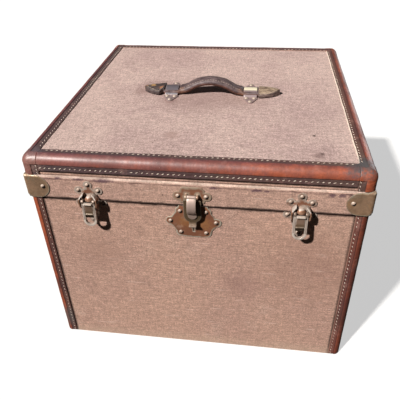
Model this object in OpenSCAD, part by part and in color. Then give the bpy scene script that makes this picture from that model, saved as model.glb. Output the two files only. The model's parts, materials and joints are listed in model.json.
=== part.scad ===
// Travel trunk of the hat-box kind: a square wooden case covered in canvas, bound in
// leather, with a deep hinged lid, two draw latches, a hasp lock and a top handle.
// Millimetres. X runs to the right, Y to the back and Z up, and the origin is the middle
// of the underside. The front face with the latches looks along -Y.

/* [Case] */
// Width of the case over its canvas
case_w = 476; // [420:1:540]
// Depth of the case over its canvas
case_d = 476; // [420:1:540]
// Height of the joint between base and lid above the floor
joint_h = 304; // [250:1:350]
// Height of the lid over its canvas, from the joint up
lid_h = 66; // [62:1:90]
// Thickness of the wooden boards
board_t = 7; // [5:0.5:8]
// Thickness of the canvas covering
canvas_t = 1; // [0.6:0.1:1.4]
// Thickness of the paper lining inside
lining_t = 0.8; // [0.5:0.1:1.2]
// Radius of the upright corners over the canvas
corner_r = 9; // [8:0.5:12]
// Radius of the lid's top edges over the canvas
top_r = 11; // [9:0.5:13]

/* [Dust lip] */
// Thickness of the lip that stands up inside the lid
lip_t = 4; // [3:0.5:6]
// Height of the lip above the joint
lip_rise = 10; // [6:1:14]
// Depth of the lip below the joint
lip_drop = 26; // [15:1:40]

/* [Leather] */
// Thickness of the flat stitched flanges
flange_t = 1.6; // [1:0.1:2]
// Thickness of the raised bead on the lid's edges
bead_t = 2.6; // [2.2:0.1:3.2]
// Thickness of the raised bead on the base's corners
post_t = 2.3; // [2.1:0.1:3]
// Height of the bead on the lid's faces, down from the leather's top
bead_h = 15; // [13.8:0.1:18]
// Height of the stitched flange below the bead
flange_h = 10; // [8:0.5:11]
// Reach of bead and flange over the lid's top, in from the leather's outer face
top_reach = 22.4; // [18:0.2:26]
// Reach of the bead alone over the lid's top
bead_reach = 13.4; // [12:0.2:16]
// Width of a base corner strip on each face
post_w = 18.4; // [15:0.2:24]
// Width of the bead within a base corner strip
post_bead_w = 10.6; // [8:0.2:13]

/* [Lid band] */
// Height of the band round the lid's rim
band_h = 37; // [34:1:40]
// Distance by which the band stands out from the case
band_out = 3.5; // [2.6:0.1:4]
// Radius of the band's upper edge
band_r = 3; // [1.5:0.5:3]
// Radius of the band's upright corners
band_corner_r = 5; // [5:0.5:12]

/* [Brass corners] */
// Length of a brass corner on each face
brass_l = 37; // [30:1:45]
// Thickness of the corner's sheet brass
brass_t = 1; // [0.8:0.1:1.4]

/* [Rivets] */
// Diameter of the domed rivet heads
rivet_d = 7.2; // [5:0.1:8]
// Height of the domed rivet heads
rivet_h = 2.2; // [1.4:0.1:2.6]

/* [Latches] */
// Distance of each latch and hinge in from the side of the case
latch_in = 90; // [50:1:120]
// Thickness of the pressed plates
plate_t = 1.2; // [0.8:0.1:1.5]
// Half the width of the catch's nose
nose_half = 6; // [5:0.1:6]
// Width of the lever's ring over all
ring_w = 19.4; // [19:0.1:20]
// Width of the ring's flat bar
ring_bar = 3.2; // [2.6:0.1:3.4]
// Thickness of the ring's flat bar
ring_t = 4; // [3:0.1:4.4]
// Length from the lever's pivot to the ring's end
lever_l = 40.5; // [38:0.5:46]
// Height of the lever's pivot above the joint
lever_z = 2.5; // [2.5:0.1:3.5]
// Distance of the lever's pivot from the canvas face
lever_out = 12; // [11.8:0.1:12.6]
// Rest angle of the hanging ring away from the face
ring_tilt = 5; // [4:0.5:9]
// Distance of the link's pin below the lever's pivot
link_drop = 22; // [19.5:0.5:22.5]

/* [Lock] */
// Width of the lock's case in the board
lock_w = 54; // [48:1:56]
// Height of the lock's case
lock_h = 44; // [40:1:48]
// Depth of the lock case's top below the joint
lock_top = 10; // [8:0.5:12]
// Half the distance between the lock plate's side rivets
lock_half = 33; // [30:0.5:38]
// Width of the hasp's arched strap
strap_w = 12.6; // [10:0.2:14]
// Width of the hasp's shield
shield_w = 25; // [22:0.5:28]
// Travel of the lock's bolt
bolt_travel = 8; // [6:0.5:9]

/* [Hinges] */
// Diameter of the hinge pin
hinge_pin_d = 3; // [2:0.1:3.6]
// Outer radius of the hinge knuckles
knuckle_r = 3.2; // [2.8:0.1:3.3]
// Width of one hinge
hinge_w = 34; // [28:1:44]
// Angle at which the hinge's stop meets the lid leaf
open_angle = 100; // [92:1:105]

/* [Handle] */
// Distance from the grip's end to the loop's band
loop_clear = 2.5; // [2.5:0.5:12]
// Width of a loop's band
loop_w = 22; // [16:1:26]
// Distance of the handle's centre line from the lid's middle, towards the front
handle_y = 8; // [0:1:40]
// Distance of the handle's middle from the lid's middle, towards the right
handle_x = 2; // [0:0.5:10]
// Height of a loop's crown over the lid
loop_h = 11; // [10:0.5:14]
// Half the width of a loop where it meets the lid
loop_half = 18; // [16:0.5:22]
// Thickness of a loop's metal
loop_t = 1.8; // [1.4:0.1:2.2]
// Half the distance between the middles of the grip's flat ends
grip_half = 54; // [50:1:57]
// Width of the rolled grip
grip_w = 26; // [20:0.5:30]
// Thickness of the rolled grip
grip_t = 12; // [9:0.5:13]
// Height of the grip's arch over its ends
grip_rise = 16.5; // [14:0.5:22]
// Length of a pointed end from shoulder to tip
tip_l = 36; // [30:1:46]
// Width of a pointed end
tip_w = 38; // [32:1:40]
// Height of a pointed end at its middle
tip_h = 11.5; // [10:0.5:13]
// Play of the handle along its loops, each way
handle_play = 1.5; // [0.5:0.5:2]

/* [Fits] */
// Gap between the base's rim and the lid's rim
rim_gap = 0.4; // [0.2:0.1:0.8]
// Gap between the dust lip and the lid's boards
lip_gap = 0.8; // [0.5:0.1:1.2]
// Radial clearance of pins in their bores
pin_fit = 0.05; // [0.02:0.01:0.1]
// Clearance between parts that pass each other
run_gap = 0.6; // [0.4:0.1:0.8]
// Clearance between curved pieces that lie on each other
bend_gap = 0.3; // [0.2:0.1:0.4]

/* [Hidden] */
$fn = 48;
far = 1000;
hx = case_w / 2;
hy = case_d / 2;
lid_top = joint_h + lid_h;
rim_z = joint_h - rim_gap;
leather_top = lid_top + bead_t;
band_top = joint_h + band_h;
band_canvas_t = 0.8;
wall_in = canvas_t + board_t;
floor_z = canvas_t + board_t;

// The cap pieces meet the straight beads at this distance in from the leather's face
cap_reach = 23.6;
cap_edge_x = hx + bead_t - cap_reach;
cap_edge_y = hy + bead_t - cap_reach;
bead_low = leather_top - bead_h;
// The folded brass corner's lower tip is clipped off, this far in from its square corner
brass_clip = 4.2;
flange_low = bead_low - flange_h;

// Faces that carry the hardware: plates lie on the base's canvas and on the band
band_face = hy + band_out;
lid_plate_face = band_face + plate_t;
base_plate_face = hy + plate_t;

// Latch: its pieces are drawn round the lever's pivot and the link's pin
latch_x = hx - latch_in;
lever_y = -hy - lever_out;
lever_height = joint_h + lever_z;
link_y = lever_y - link_drop * sin(ring_tilt);
link_height = lever_height - link_drop * cos(ring_tilt);
pivot_r = 1.5;
link_pin_r = 1.3;
arm_r = 3.4;
cheek_r = 13.5;
cheek_t = 1.7;
link_t = 1.8;
link_face = -lever_y + 1.2;
latch_lid_rivets = [[0, 26], [-14.2, 16.5], [14.2, 16.5]];
latch_base_rivets = [[0, -38.5], [-17.2, -7.5], [17.2, -7.5]];

// Lock: the case lies in a pocket of the front board, the hasp's staple enters it
lock_case_half = lock_w / 2;
lock_case_high = joint_h - lock_top;
lock_case_low = lock_case_high - lock_h;
lock_case_back = -hy + wall_in + lining_t;
staple_t = 2.2;
staple_high = lock_case_high - 6;
staple_low = staple_high - 9;
staple_in = -hy + 0.83 * wall_in;
bolt_t = 0.42 * wall_in;
bolt_y = -hy + 0.4 * wall_in;
bolt_z = (staple_low + staple_high) / 2;
bolt_l = 24;
key_z = lock_case_low + 11;
hasp_pin_r = 1.5;
hasp_knuckle_r = 3;
hasp_y = -lid_plate_face - hasp_knuckle_r - run_gap - 0.2;
hasp_z = joint_h + 18;
hasp_sheet = 2;
hasp_back = lid_plate_face + run_gap + 0.1;
hasp_lid_rivets = [[-19.6, 16.6], [19.6, 16.6]];
lock_rivets = [[-18.6, -13], [-lock_half, -31.3], [-18.5, -51.4]];

// Hinge: the knuckles stand clear behind the band, on the line of the joint
hinge_y = lid_plate_face + 2.2;
hinge_half = hinge_w / 2;
base_knuckle_half = 7;
hinge_lid_rivets = [[-11, 10.5], [11, 10.5], [0, 24]];
hinge_base_rivets = [[-11, -10.5], [11, -10.5], [0, -24]];
stop_gap = 0.15;

// Handle: the grip is an arch of three arcs that end flat
grip_z = lid_top + bend_gap + grip_t / 2;
loop_x = grip_half + loop_clear + loop_w / 2;
arch_angle = 2 * atan(grip_rise / grip_half);
arch_sum = grip_half / sin(arch_angle);
arch_r = arch_sum * 0.66;
foot_r = arch_sum - arch_r;
loop_r = (pow(loop_half, 2) + pow(loop_h, 2)) / (2 * loop_h);
loop_axis = lid_top + loop_h - loop_r;
strap_half = loop_half - 3.2;
strap_lap = 1.5;
shoulder_x = loop_x + loop_w / 2 + handle_play + 1;
loop_rivets = [[-6.5, 21], [6.5, 21], [0, 34]];

// Colours as the photograph shows them
canvas_c = [0.62, 0.49, 0.43];
leather_c = [0.42, 0.17, 0.13];
flange_c = [0.27, 0.19, 0.18];
wood_c = [0.66, 0.52, 0.36];
paper_c = [0.78, 0.70, 0.58];
brass_c = [0.46, 0.38, 0.26];
copper_c = [0.50, 0.33, 0.23];
iron_c = [0.30, 0.27, 0.26];

// Helpers: a flat outline laid on an upright face or swept across the case

// Plate drawn in X and Z, its back at y, growing towards the front by t
module facing(y, t) {
    translate([0, y, 0]) rotate([90, 0, 0]) linear_extrude(t) children();
}

// Bar whose section is drawn in Y and Z, from x0 over a width
module across(x0, w) {
    translate([x0, 0, 0]) rotate([90, 0, 90]) linear_extrude(w) children();
}

// Rectangle with round corners, centred
module round_rect(half_x, half_y, r) {
    square([2 * (half_x - r), 2 * half_y], center = true);
    square([2 * half_x, 2 * (half_y - r)], center = true);
    for (sx = [-1, 1], sy = [-1, 1])
        translate([sx * (half_x - r), sy * (half_y - r)]) circle(r);
}

// Upright section with its two top corners round
module round_top(half, z0, z1, r) {
    translate([-half, z0]) square([2 * half, z1 - z0 - r]);
    translate([-half + r, z0]) square([2 * (half - r), z1 - z0]);
    for (s = [-1, 1]) translate([s * (half - r), z1 - r]) circle(r);
}

// Block grown by g over the case, with round upright corners and round top edges
module case_block(g, z0, z1, r_up, r_top) {
    intersection() {
        translate([0, 0, z0]) linear_extrude(z1 - z0) round_rect(hx + g, hy + g, r_up);
        across(-far / 2, far) round_top(hy + g, z0, z1, r_top);
        translate([0, far / 2, 0]) facing(0, far) round_top(hx + g, z0, z1, r_top);
    }
}

// Straight column grown by g over the case
module case_column(g, z0, z1, r_up) {
    translate([0, 0, z0]) linear_extrude(z1 - z0) round_rect(hx + g, hy + g, r_up);
}

// Domed head on the face at y, looking to the front
module rivet_head() {
    ball_r = (pow(rivet_d / 2, 2) + pow(rivet_h, 2)) / (2 * rivet_h);
    intersection() {
        translate([0, 0, rivet_h - ball_r]) sphere(ball_r);
        cylinder(r = rivet_d, h = rivet_d);
    }
}

module rivets_front(y, points) {
    for (p = points) translate([p[0], y, p[1]]) rotate([90, 0, 0]) rivet_head();
}

module rivets_back(y, points) {
    for (p = points) translate([p[0], y, p[1]]) rotate([-90, 0, 0]) rivet_head();
}

function mirrored(points) = concat(points, [for (p = points) [-p[0], p[1]]]);
function moved(points, dx, dz) = [for (p = points) [p[0] + dx, p[1] + dz]];

// Case: boards, canvas and lining

module base_wood() {
    case_column(-canvas_t, canvas_t, rim_z, corner_r - canvas_t + bend_gap);
}

// The slab of the case that one wall's boards fill: side is +1 or -1
module wall_y(side, z0, z1) {
    translate([-far / 2, side > 0 ? hy - wall_in : -hy - far + wall_in, z0])
        cube([far, far, z1 - z0]);
}

module wall_x(side, z0, z1) {
    translate([side > 0 ? hx - wall_in : -hx - far + wall_in, -hy + wall_in, z0])
        cube([far, 2 * (hy - wall_in), z1 - z0]);
}

module base_front_board() {
    color(wood_c) difference() {
        intersection() {
            base_wood();
            wall_y(-1, 0, rim_z);
        }
        lock_pocket(bend_gap);
    }
}

module base_back_board() {
    color(wood_c) intersection() {
        base_wood();
        wall_y(1, 0, rim_z);
    }
}

module base_side_board(side) {
    color(wood_c) intersection() {
        base_wood();
        wall_x(side, 0, rim_z);
    }
}

module base_bottom_board() {
    color(wood_c) translate([-hx + wall_in, -hy + wall_in, canvas_t])
        cube([2 * (hx - wall_in), 2 * (hy - wall_in), board_t]);
}

module base_canvas() {
    color(canvas_c) difference() {
        case_column(0, canvas_t, rim_z, corner_r);
        case_column(-canvas_t, 0, far, corner_r - canvas_t);
        lock_pocket(bend_gap);
    }
}

module bottom_canvas() {
    color(canvas_c) case_column(0, 0, canvas_t, corner_r);
}

// Open box of paper against the boards, its open side up or down
module lining(z0, z1, floor_at) {
    wall = wall_in;
    difference() {
        translate([-hx + wall, -hy + wall, z0])
            cube([2 * (hx - wall), 2 * (hy - wall), z1 - z0]);
        translate([-hx + wall + lining_t, -hy + wall + lining_t, floor_at])
            cube([2 * (hx - wall - lining_t), 2 * (hy - wall - lining_t), z1 - z0]);
    }
}

module base_lining() {
    color(paper_c) difference() {
        lining(floor_z, joint_h - lip_drop, floor_z + lining_t);
        lock_pocket(bend_gap);
    }
}

module lid_lining() {
    top = lid_top - wall_in;
    color(paper_c) lining(joint_h + lip_rise + run_gap, top, joint_h + lip_rise + run_gap - lining_t);
}

// Four strips round the mouth of the base, stepped to clear the lid's boards
module dust_lip() {
    out_x = hx - wall_in;
    out_y = hy - wall_in;
    color(wood_c) difference() {
        union() {
            for (s = [-1, 1]) {
                lip_strip(out_x, out_y, s, lip_t, joint_h - lip_drop, rim_z, 0);
                lip_strip(out_x, out_y, s, lip_t, joint_h - lip_drop, joint_h + lip_rise, lip_gap);
            }
        }
        lock_pocket(bend_gap);
    }
}

module lip_strip(out_x, out_y, s, t, z0, z1, back) {
    long = out_x - back;
    translate([-long, s > 0 ? out_y - t : -out_y + back, z0]) cube([2 * long, t - back, z1 - z0]);
    translate([s > 0 ? out_x - t : -out_x + back, -out_y + t + bend_gap, z0])
        cube([t - back, 2 * (out_y - t - bend_gap), z1 - z0]);
}

module lid_wood() {
    case_block(-canvas_t, joint_h, lid_top - canvas_t, corner_r - canvas_t + bend_gap,
        top_r - canvas_t + bend_gap);
}

module lid_wall_y(side) {
    color(wood_c) intersection() {
        lid_wood();
        wall_y(side, joint_h, lid_top);
    }
}

module lid_wall_x(side) {
    color(wood_c) intersection() {
        lid_wood();
        wall_x(side, joint_h, lid_top);
    }
}

module lid_top_board() {
    color(wood_c) intersection() {
        lid_wood();
        translate([-hx + wall_in, -hy + wall_in, lid_top - wall_in])
            cube([2 * (hx - wall_in), 2 * (hy - wall_in), far]);
    }
}

module lid_canvas() {
    color(canvas_c) difference() {
        case_block(0, joint_h, lid_top, corner_r, top_r);
        case_block(-canvas_t, joint_h - far / 2, lid_top - canvas_t, corner_r - canvas_t, top_r - canvas_t);
    }
}

// Lid band: thin battens round the rim and the canvas over them

module band_block(g, z1, r) {
    case_block(g, joint_h, z1, band_corner_r - band_out + g, r);
}

module lid_band() {
    batten = band_out - band_canvas_t;
    color(wood_c) difference() {
        band_block(batten, band_top - band_canvas_t, band_r - band_canvas_t + bend_gap);
        case_column(0, 0, far, corner_r);
        for (sx = [-1, 1], sy = [-1, 1])
            translate([sx * (hx + far / 2), sy * (hy - corner_r), 0])
                cube([far, bend_gap, far], center = true);
    }
}

module band_canvas() {
    inner = band_out - band_canvas_t;
    color(canvas_c) difference() {
        band_block(band_out, band_top, band_r);
        band_block(inner, band_top - band_canvas_t, band_r - band_canvas_t);
        case_column(0, 0, far, corner_r);
    }
}

// Leather: a raised bead with a stitched flange on each side of it

// Half section of an edge: half is the case's half size on that side
module edge_section(half, reach) {
    module shell(g, r) {
        difference() {
            round_top(half + g, joint_h, lid_top + g, r + g);
            round_top(half, joint_h - 1, lid_top, r - bend_gap);
        }
    }
    intersection() {
        shell(flange_t, top_r);
        translate([-half - far, flange_low]) square([far + reach, far]);
    }
    intersection() {
        shell(bead_t, top_r);
        translate([-half - far, bead_low]) square([far + bead_reach - bead_t, far]);
    }
}

module edge_leather_y(side) {
    color(leather_c) mirror([0, side > 0 ? 1 : 0, 0])
        across(-cap_edge_x, 2 * cap_edge_x) edge_section(hy, top_reach - bead_t);
}

module edge_leather_x(side) {
    color(leather_c) mirror([side > 0 ? 1 : 0, 0, 0]) translate([0, cap_edge_y, 0])
        facing(0, 2 * cap_edge_y) edge_section(hx, top_reach - bead_t);
}

// One moulded cap over a lid corner, made for the front left and mirrored to the others
module cap_leather(sx, sy) {
    low = band_top + bend_gap;
    bead_x = hx + bead_t - bead_reach;
    bead_y = hy + bead_t - bead_reach;
    post_x = hx + bead_t - cap_reach / 2;
    post_y = hy + bead_t - cap_reach / 2;
    color(leather_c) mirror([sx > 0 ? 1 : 0, 0, 0]) mirror([0, sy > 0 ? 1 : 0, 0])
        intersection() {
            translate([-far - cap_edge_x, -far - cap_edge_y, low]) cube([far, far, far]);
            difference() {
                union() {
                    leather_block(flange_t, low);
                    intersection() {
                        leather_block(bead_t, low);
                        union() {
                            translate([-far - bead_x, -far, bead_low]) cube([far, 2 * far, far]);
                            translate([-far, -far - bead_y, bead_low]) cube([2 * far, far, far]);
                            translate([-far - post_x, -far - post_y, 0]) cube([far, far, far]);
                        }
                    }
                }
                case_block(0, low - 1, lid_top, corner_r - bend_gap, top_r - bend_gap);
            }
        }
}

module leather_block(g, low) {
    case_block(g, low, lid_top + g, corner_r + g, top_r + g);
}

// Folded strip down a corner of the base, with its bead on the very corner
module post_leather(sx, sy) {
    strip_x = hx + post_t - post_w;
    strip_y = hy + post_t - post_w;
    bead_x = hx + post_t - post_bead_w;
    bead_y = hy + post_t - post_bead_w;
    color(leather_c) mirror([sx > 0 ? 1 : 0, 0, 0]) mirror([0, sy > 0 ? 1 : 0, 0])
        translate([0, 0, canvas_t]) linear_extrude(rim_z - canvas_t) {
            intersection() {
                post_ring(flange_t);
                translate([-far - strip_x, -far - strip_y]) square(far);
            }
            intersection() {
                post_ring(post_t);
                translate([-far - bead_x, -far - bead_y]) square(far);
            }
        }
}

module post_ring(t) {
    difference() {
        round_rect(hx + t, hy + t, corner_r + t);
        round_rect(hx, hy, corner_r - bend_gap);
    }
}

// Brass corner: sheet folded round the band with a round end on each face
module brass_corner(sx, sy) {
    end_r = band_h / 2;
    out = band_out + brass_t;
    color(brass_c) mirror([sx > 0 ? 1 : 0, 0, 0]) mirror([0, sy > 0 ? 1 : 0, 0])
        difference() {
            intersection() {
                case_block(out, joint_h, band_top + brass_t, band_corner_r + brass_t, band_r + brass_t);
                union() {
                    translate([0, -hy + corner_r, 0]) facing(0, far) brass_outline(hx + out, end_r);
                    translate([-hx + corner_r - far, 0, 0]) across(0, far)
                        brass_outline(hy + out, end_r);
                }
            }
            case_block(band_out, joint_h, band_top, band_corner_r - bend_gap, band_r - bend_gap);
            case_column(bead_t + bend_gap, 0, far, corner_r + bead_t + bend_gap);
            translate([-hx - out, -hy - out, joint_h]) rotate([0, atan(sqrt(2)), 45])
                translate([0, 0, brass_clip - far / 2]) cube(far, center = true);
        }
}

module brass_outline(half, end_r) {
    translate([-half - far, 0]) square([far + brass_l - end_r, far]);
    translate([-half + brass_l - end_r, joint_h + end_r]) circle(end_r);
}

// Latch: catch on the lid, plate with cheeks on the base, ring lever and hooked link

// Plate of a latch half: a body, two side lobes and a lobe at its far end
module lobed_plate(rivets, lobe_r, body) {
    polygon(body);
    for (r = rivets) translate(r) circle(lobe_r);
}

module latch_catch(side) {
    tooth_out = lid_plate_face + 4.5;
    color(copper_c) translate([side * latch_x, 0, joint_h]) {
        facing(-band_face, plate_t) {
            lobed_plate(latch_lid_rivets, 6.2,
                [[-11.5, 1.2], [11.5, 1.2], [12, 15], [4, 22], [4, 27], [-4, 27], [-4, 22], [-12, 15]]);
        }
        // Nose with flat sides and a flat underside
        intersection() {
            translate([0, lever_y + 6.2, lever_z]) sphere(6.8);
            translate([-nose_half, -far - lid_plate_face, lever_z - 0.1]) cube([2 * nose_half, far, far]);
        }
        // Hook below the nose, behind the link's tooth
        translate([0, 0, -6.7]) {
            translate([-4.6, -lid_plate_face - 1.6, 0]) cube([9.2, 1.6, 9.4]);
            translate([-4.6, -tooth_out, 0]) cube([9.2, tooth_out - lid_plate_face, 1.9]);
        }
    }
}

module latch_plate(side) {
    color(copper_c) translate([side * latch_x, 0, joint_h]) {
        facing(-hy, plate_t) lobed_plate(latch_base_rivets, 5.9,
            [[-14, -1.6], [14, -1.6], [14, -12], [5, -37], [-5, -37], [-14, -12]]);
        for (s = [-1, 1]) mirror([s > 0 ? 0 : 1, 0, 0]) latch_cheek();
    }
}

// Cheek: a standing strip, curved in at its top, that carries the lever's pivot
module latch_cheek() {
    inner = cheek_r - cheek_t;
    back = lid_plate_face + run_gap + 0.1;
    front = -lever_y + 3.6;
    difference() {
        intersection() {
            facing(0, far) {
                intersection() {
                    difference() {
                        translate([0, lever_z]) circle(cheek_r);
                        translate([0, lever_z]) circle(inner);
                    }
                    translate([nose_half + run_gap, lever_z]) square(far);
                }
                polygon([[cheek_r, lever_z], [inner, lever_z], [inner - 2.3, -18], [cheek_r - 2.3, -18]]);
            }
            across(0, far) polygon([[-hy - plate_t / 2, -18], [-hy - plate_t / 2, -1.6], [-back, -1.6],
                [-back, far], [-front + 4, far], [-front + 4, 15], [-front, 6], [-front, -5],
                [-hy - 5, -18]]);
        }
        translate([0, lever_y, lever_z]) across(0, far) circle(pivot_r + pin_fit);
    }
}

module latch_pivots() {
    color(iron_c) for (side = [-1, 1], s = [-1, 1])
        translate([side * latch_x, lever_y, lever_height]) mirror([s > 0 ? 0 : 1, 0, 0]) {
            across(nose_half + 0.4, cheek_r - nose_half - 0.3) circle(pivot_r);
            across(cheek_r + 0.1, 1) circle(2.4);
        }
}

module latch_lever(side) {
    half = ring_w / 2;
    low = lever_l - half;
    color(brass_c) translate([side * latch_x, lever_y, lever_height]) rotate([-ring_tilt, 0, 0])
        difference() {
            union() {
                translate([0, ring_t / 2, 0]) facing(0, ring_t) difference() {
                    union() {
                        translate([-half, -low]) square([ring_w, low]);
                        translate([0, -low]) circle(half);
                    }
                    translate([-half + ring_bar, -low]) square([ring_w - 2 * ring_bar, low + 1]);
                    translate([0, -low]) circle(half - ring_bar);
                }
                for (x = [-half, half - ring_bar]) across(x, ring_bar) circle(arm_r);
                translate([0, 0, -link_drop]) across(-half + 1, ring_w - 2) circle(link_pin_r);
            }
            across(-far / 2, far) circle(pivot_r + pin_fit);
        }
}

module latch_link(side) {
    half = ring_w / 2 - ring_bar - run_gap;
    top = lever_height - 1.1;
    low = link_height - 4.6;
    color(copper_c) translate([side * latch_x, 0, 0]) difference() {
        union() {
            translate([0, link_y, link_height]) across(-half, 2 * half) circle(2.6);
            translate([-half, -link_face - link_t, low]) cube([2 * half, link_t, top - low]);
            translate([-half, -link_face - link_t - 3, top - link_t]) cube([2 * half, 3.1, link_t]);
            translate([-4, -link_face - 0.1, top - 4.6]) cube([8, 3.1, 1.8]);
        }
        translate([0, link_y, link_height]) across(-far / 2, far) circle(link_pin_r + pin_fit);
    }
}

// Lock: scalloped plate, case in the board, bolt, and the hasp on the lid

module lock_outline() {
    intersection() {
        polygon([[-20, -1.6], [20, -1.6], [26, -15], [lock_half, -25.5], [lock_half, -38], [27, -46],
            [21, -62], [-21, -62], [-27, -46], [-lock_half, -38], [-lock_half, -25.5], [-26, -15]]);
        translate([0, 60]) circle(120);
    }
}

module staple_slot() {
    half = staple_t / 2 + run_gap;
    translate([-half, -hy - plate_t - 1, staple_low - 4.5])
        cube([2 * half, staple_in + 0.6 + hy + plate_t + 1, far]);
}

module lock_pocket(g) {
    translate([-lock_case_half - g, -hy - 1, lock_case_low - g])
        cube([2 * (lock_case_half + g), lock_case_back + hy + 1 + g, lock_case_high - lock_case_low + 2 * g]);
    staple_slot();
}

module keyhole() {
    circle(2);
    translate([-0.9, -6]) square([1.8, 6]);
}

module lock_plate() {
    color(copper_c) difference() {
        translate([0, 0, joint_h]) {
            facing(-hy, plate_t) lock_outline();
            for (p = mirrored(lock_rivets)) facing(-hy, plate_t) translate(p) circle(7.4);
        }
        staple_slot();
        translate([0, 0, key_z]) facing(-hy + 1, plate_t + 2) keyhole();
    }
}

module lock_case() {
    color(iron_c) difference() {
        translate([-lock_case_half, -hy, lock_case_low])
            cube([2 * lock_case_half, lock_case_back + hy, lock_case_high - lock_case_low]);
        staple_slot();
        translate([0, 0, key_z]) facing(-hy + 5, 6) keyhole();
        translate([-bolt_travel - 1, bolt_y - bolt_t / 2 - 0.1, bolt_z - bolt_t / 2 - 0.1])
            cube([bolt_travel + 4 + bolt_l, bolt_t + 0.2, bolt_t + 0.2]);
    }
}

module lock_bolt() {
    color(brass_c) translate([staple_t / 2 + run_gap + 0.9, bolt_y - bolt_t / 2, bolt_z - bolt_t / 2])
        cube([bolt_l - 1, bolt_t, bolt_t]);
}

module hasp_plate() {
    lug_in = strap_w / 2 + bend_gap;
    color(copper_c) {
        translate([0, 0, joint_h]) facing(-band_face, plate_t) {
            polygon([[-13.8, 32], [13.8, 32], [17.5, 27], [19, 16], [17, 5], [-17, 5], [-19, 16], [-17.5, 27]]);
            for (p = hasp_lid_rivets) translate(p) circle(7.6);
        }
        for (s = [-1, 1]) mirror([s > 0 ? 0 : 1, 0, 0]) difference() {
            union() {
                translate([0, hasp_y, hasp_z]) across(lug_in, 2.8) circle(hasp_knuckle_r);
                translate([lug_in, hasp_y, hasp_z - hasp_knuckle_r])
                    cube([2.8, -lid_plate_face - hasp_y + plate_t / 2, 2 * hasp_knuckle_r]);
            }
            translate([0, hasp_y, hasp_z]) across(0, far) circle(hasp_pin_r + pin_fit);
        }
    }
}

module hasp_pin() {
    half = strap_w / 2 + bend_gap + 3.2;
    color(iron_c) translate([0, hasp_y, hasp_z]) across(-half, 2 * half) circle(hasp_pin_r);
}

module hasp() {
    strap_half = strap_w / 2;
    arc_r = 19.3;
    arc_y = hasp_y + 10.8;
    arc_z = hasp_z - 14.5;
    strap_t = 1.8;
    low = joint_h - 33;
    color(copper_c) difference() {
        union() {
            // Arched strap with its knuckle
            translate([0, hasp_y, hasp_z]) across(-strap_half, strap_w) circle(hasp_knuckle_r);
            across(-strap_half, strap_w) intersection() {
                difference() {
                    translate([arc_y, arc_z]) circle(arc_r);
                    translate([arc_y, arc_z]) circle(arc_r - strap_t);
                }
                translate([-far - hasp_back - hasp_sheet / 2, joint_h - 30])
                    square([far, hasp_z - joint_h + 30]);
            }
            // Riveted end of the strap on the shield
            facing(-hasp_back - hasp_sheet, strap_t) {
                translate([0, joint_h - 14]) circle(strap_half);
                translate([-strap_half, joint_h - 14]) square([strap_w, 2]);
            }
            // Shield with its neck and turned-out finger lip
            facing(-hasp_back, hasp_sheet) {
                translate([-shield_w / 2, joint_h - 15]) square([shield_w, 27]);
                translate([0, joint_h - 15]) circle(shield_w / 2);
                translate([-5.2, low]) square([10.4, 12]);
            }
            translate([-5.2, -hasp_back - hasp_sheet - 4.5, low]) cube([10.4, 5, 1.8]);
            // Staple on the shield's back
            translate([-staple_t / 2, -hasp_back - 0.2, staple_low])
                cube([staple_t, staple_in + hasp_back + 0.2, staple_high - staple_low]);
        }
        translate([0, hasp_y, hasp_z]) across(-far / 2, far) circle(hasp_pin_r + pin_fit);
        translate([-far / 2, bolt_y - bolt_t / 2 - 0.4, bolt_z - bolt_t / 2 - 0.4])
            cube([far, bolt_t + 0.8, bolt_t + 0.8]);
    }
}

// Hinges on the back: leaf on the band, leaf on the base, knuckles round one pin

module hinge_lid_leaf(side) {
    color(iron_c) translate([side * latch_x, 0, joint_h]) difference() {
        union() {
            translate([0, band_face + plate_t, 0]) facing(0, plate_t) {
                polygon([[-hinge_half, 0.6], [hinge_half, 0.6], [hinge_half, 12], [5, 27], [-5, 27],
                    [-hinge_half, 12]]);
                for (p = hinge_lid_rivets) translate(p) circle(6);
            }
            for (s = [-1, 1]) mirror([s > 0 ? 0 : 1, 0, 0]) translate([0, hinge_y, 0])
                across(base_knuckle_half + bend_gap, hinge_half - base_knuckle_half - bend_gap)
                    circle(knuckle_r);
        }
        translate([-base_knuckle_half - bend_gap, band_face - 1, -far / 2])
            cube([2 * (base_knuckle_half + bend_gap), plate_t + 2, far / 2 + knuckle_r + 0.5]);
        translate([0, hinge_y, 0]) across(-far / 2, far) circle(hinge_pin_d / 2 + pin_fit);
    }
}

module hinge_base_leaf(side) {
    color(iron_c) translate([side * latch_x, 0, joint_h]) difference() {
        union() {
            translate([0, hy + plate_t, 0]) facing(0, plate_t) {
                polygon([[-hinge_half, -1.6], [hinge_half, -1.6], [hinge_half, -12], [5, -27], [-5, -27],
                    [-hinge_half, -12]]);
                for (p = hinge_base_rivets) translate(p) circle(6);
            }
            translate([0, 0, 0]) across(-base_knuckle_half, 2 * base_knuckle_half) {
                translate([hinge_y, 0]) circle(knuckle_r);
                translate([hy + plate_t / 2, -3]) square([hinge_y - hy - plate_t / 2, 2]);
                // Stop for the lid leaf
                translate([hinge_y, 0]) rotate(-open_angle)
                    translate([-2.2 + stop_gap, 0]) square([1.8, 8]);
            }
        }
        translate([0, hinge_y, 0]) across(-far / 2, far) circle(hinge_pin_d / 2 + pin_fit);
    }
}

module hinge_pins() {
    color(iron_c) for (side = [-1, 1])
        translate([side * latch_x, hinge_y, joint_h]) across(-hinge_half - 0.5, hinge_w + 1)
            circle(hinge_pin_d / 2);
}

// Rivets, one group on the base and one on the lid

module base_rivets() {
    color(iron_c) {
        for (side = [-1, 1]) {
            rivets_front(-base_plate_face, moved(latch_base_rivets, side * latch_x, joint_h));
            rivets_back(base_plate_face, moved(hinge_base_rivets, side * latch_x, joint_h));
        }
        rivets_front(-base_plate_face, moved(mirrored(lock_rivets), 0, joint_h));
    }
}

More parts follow.
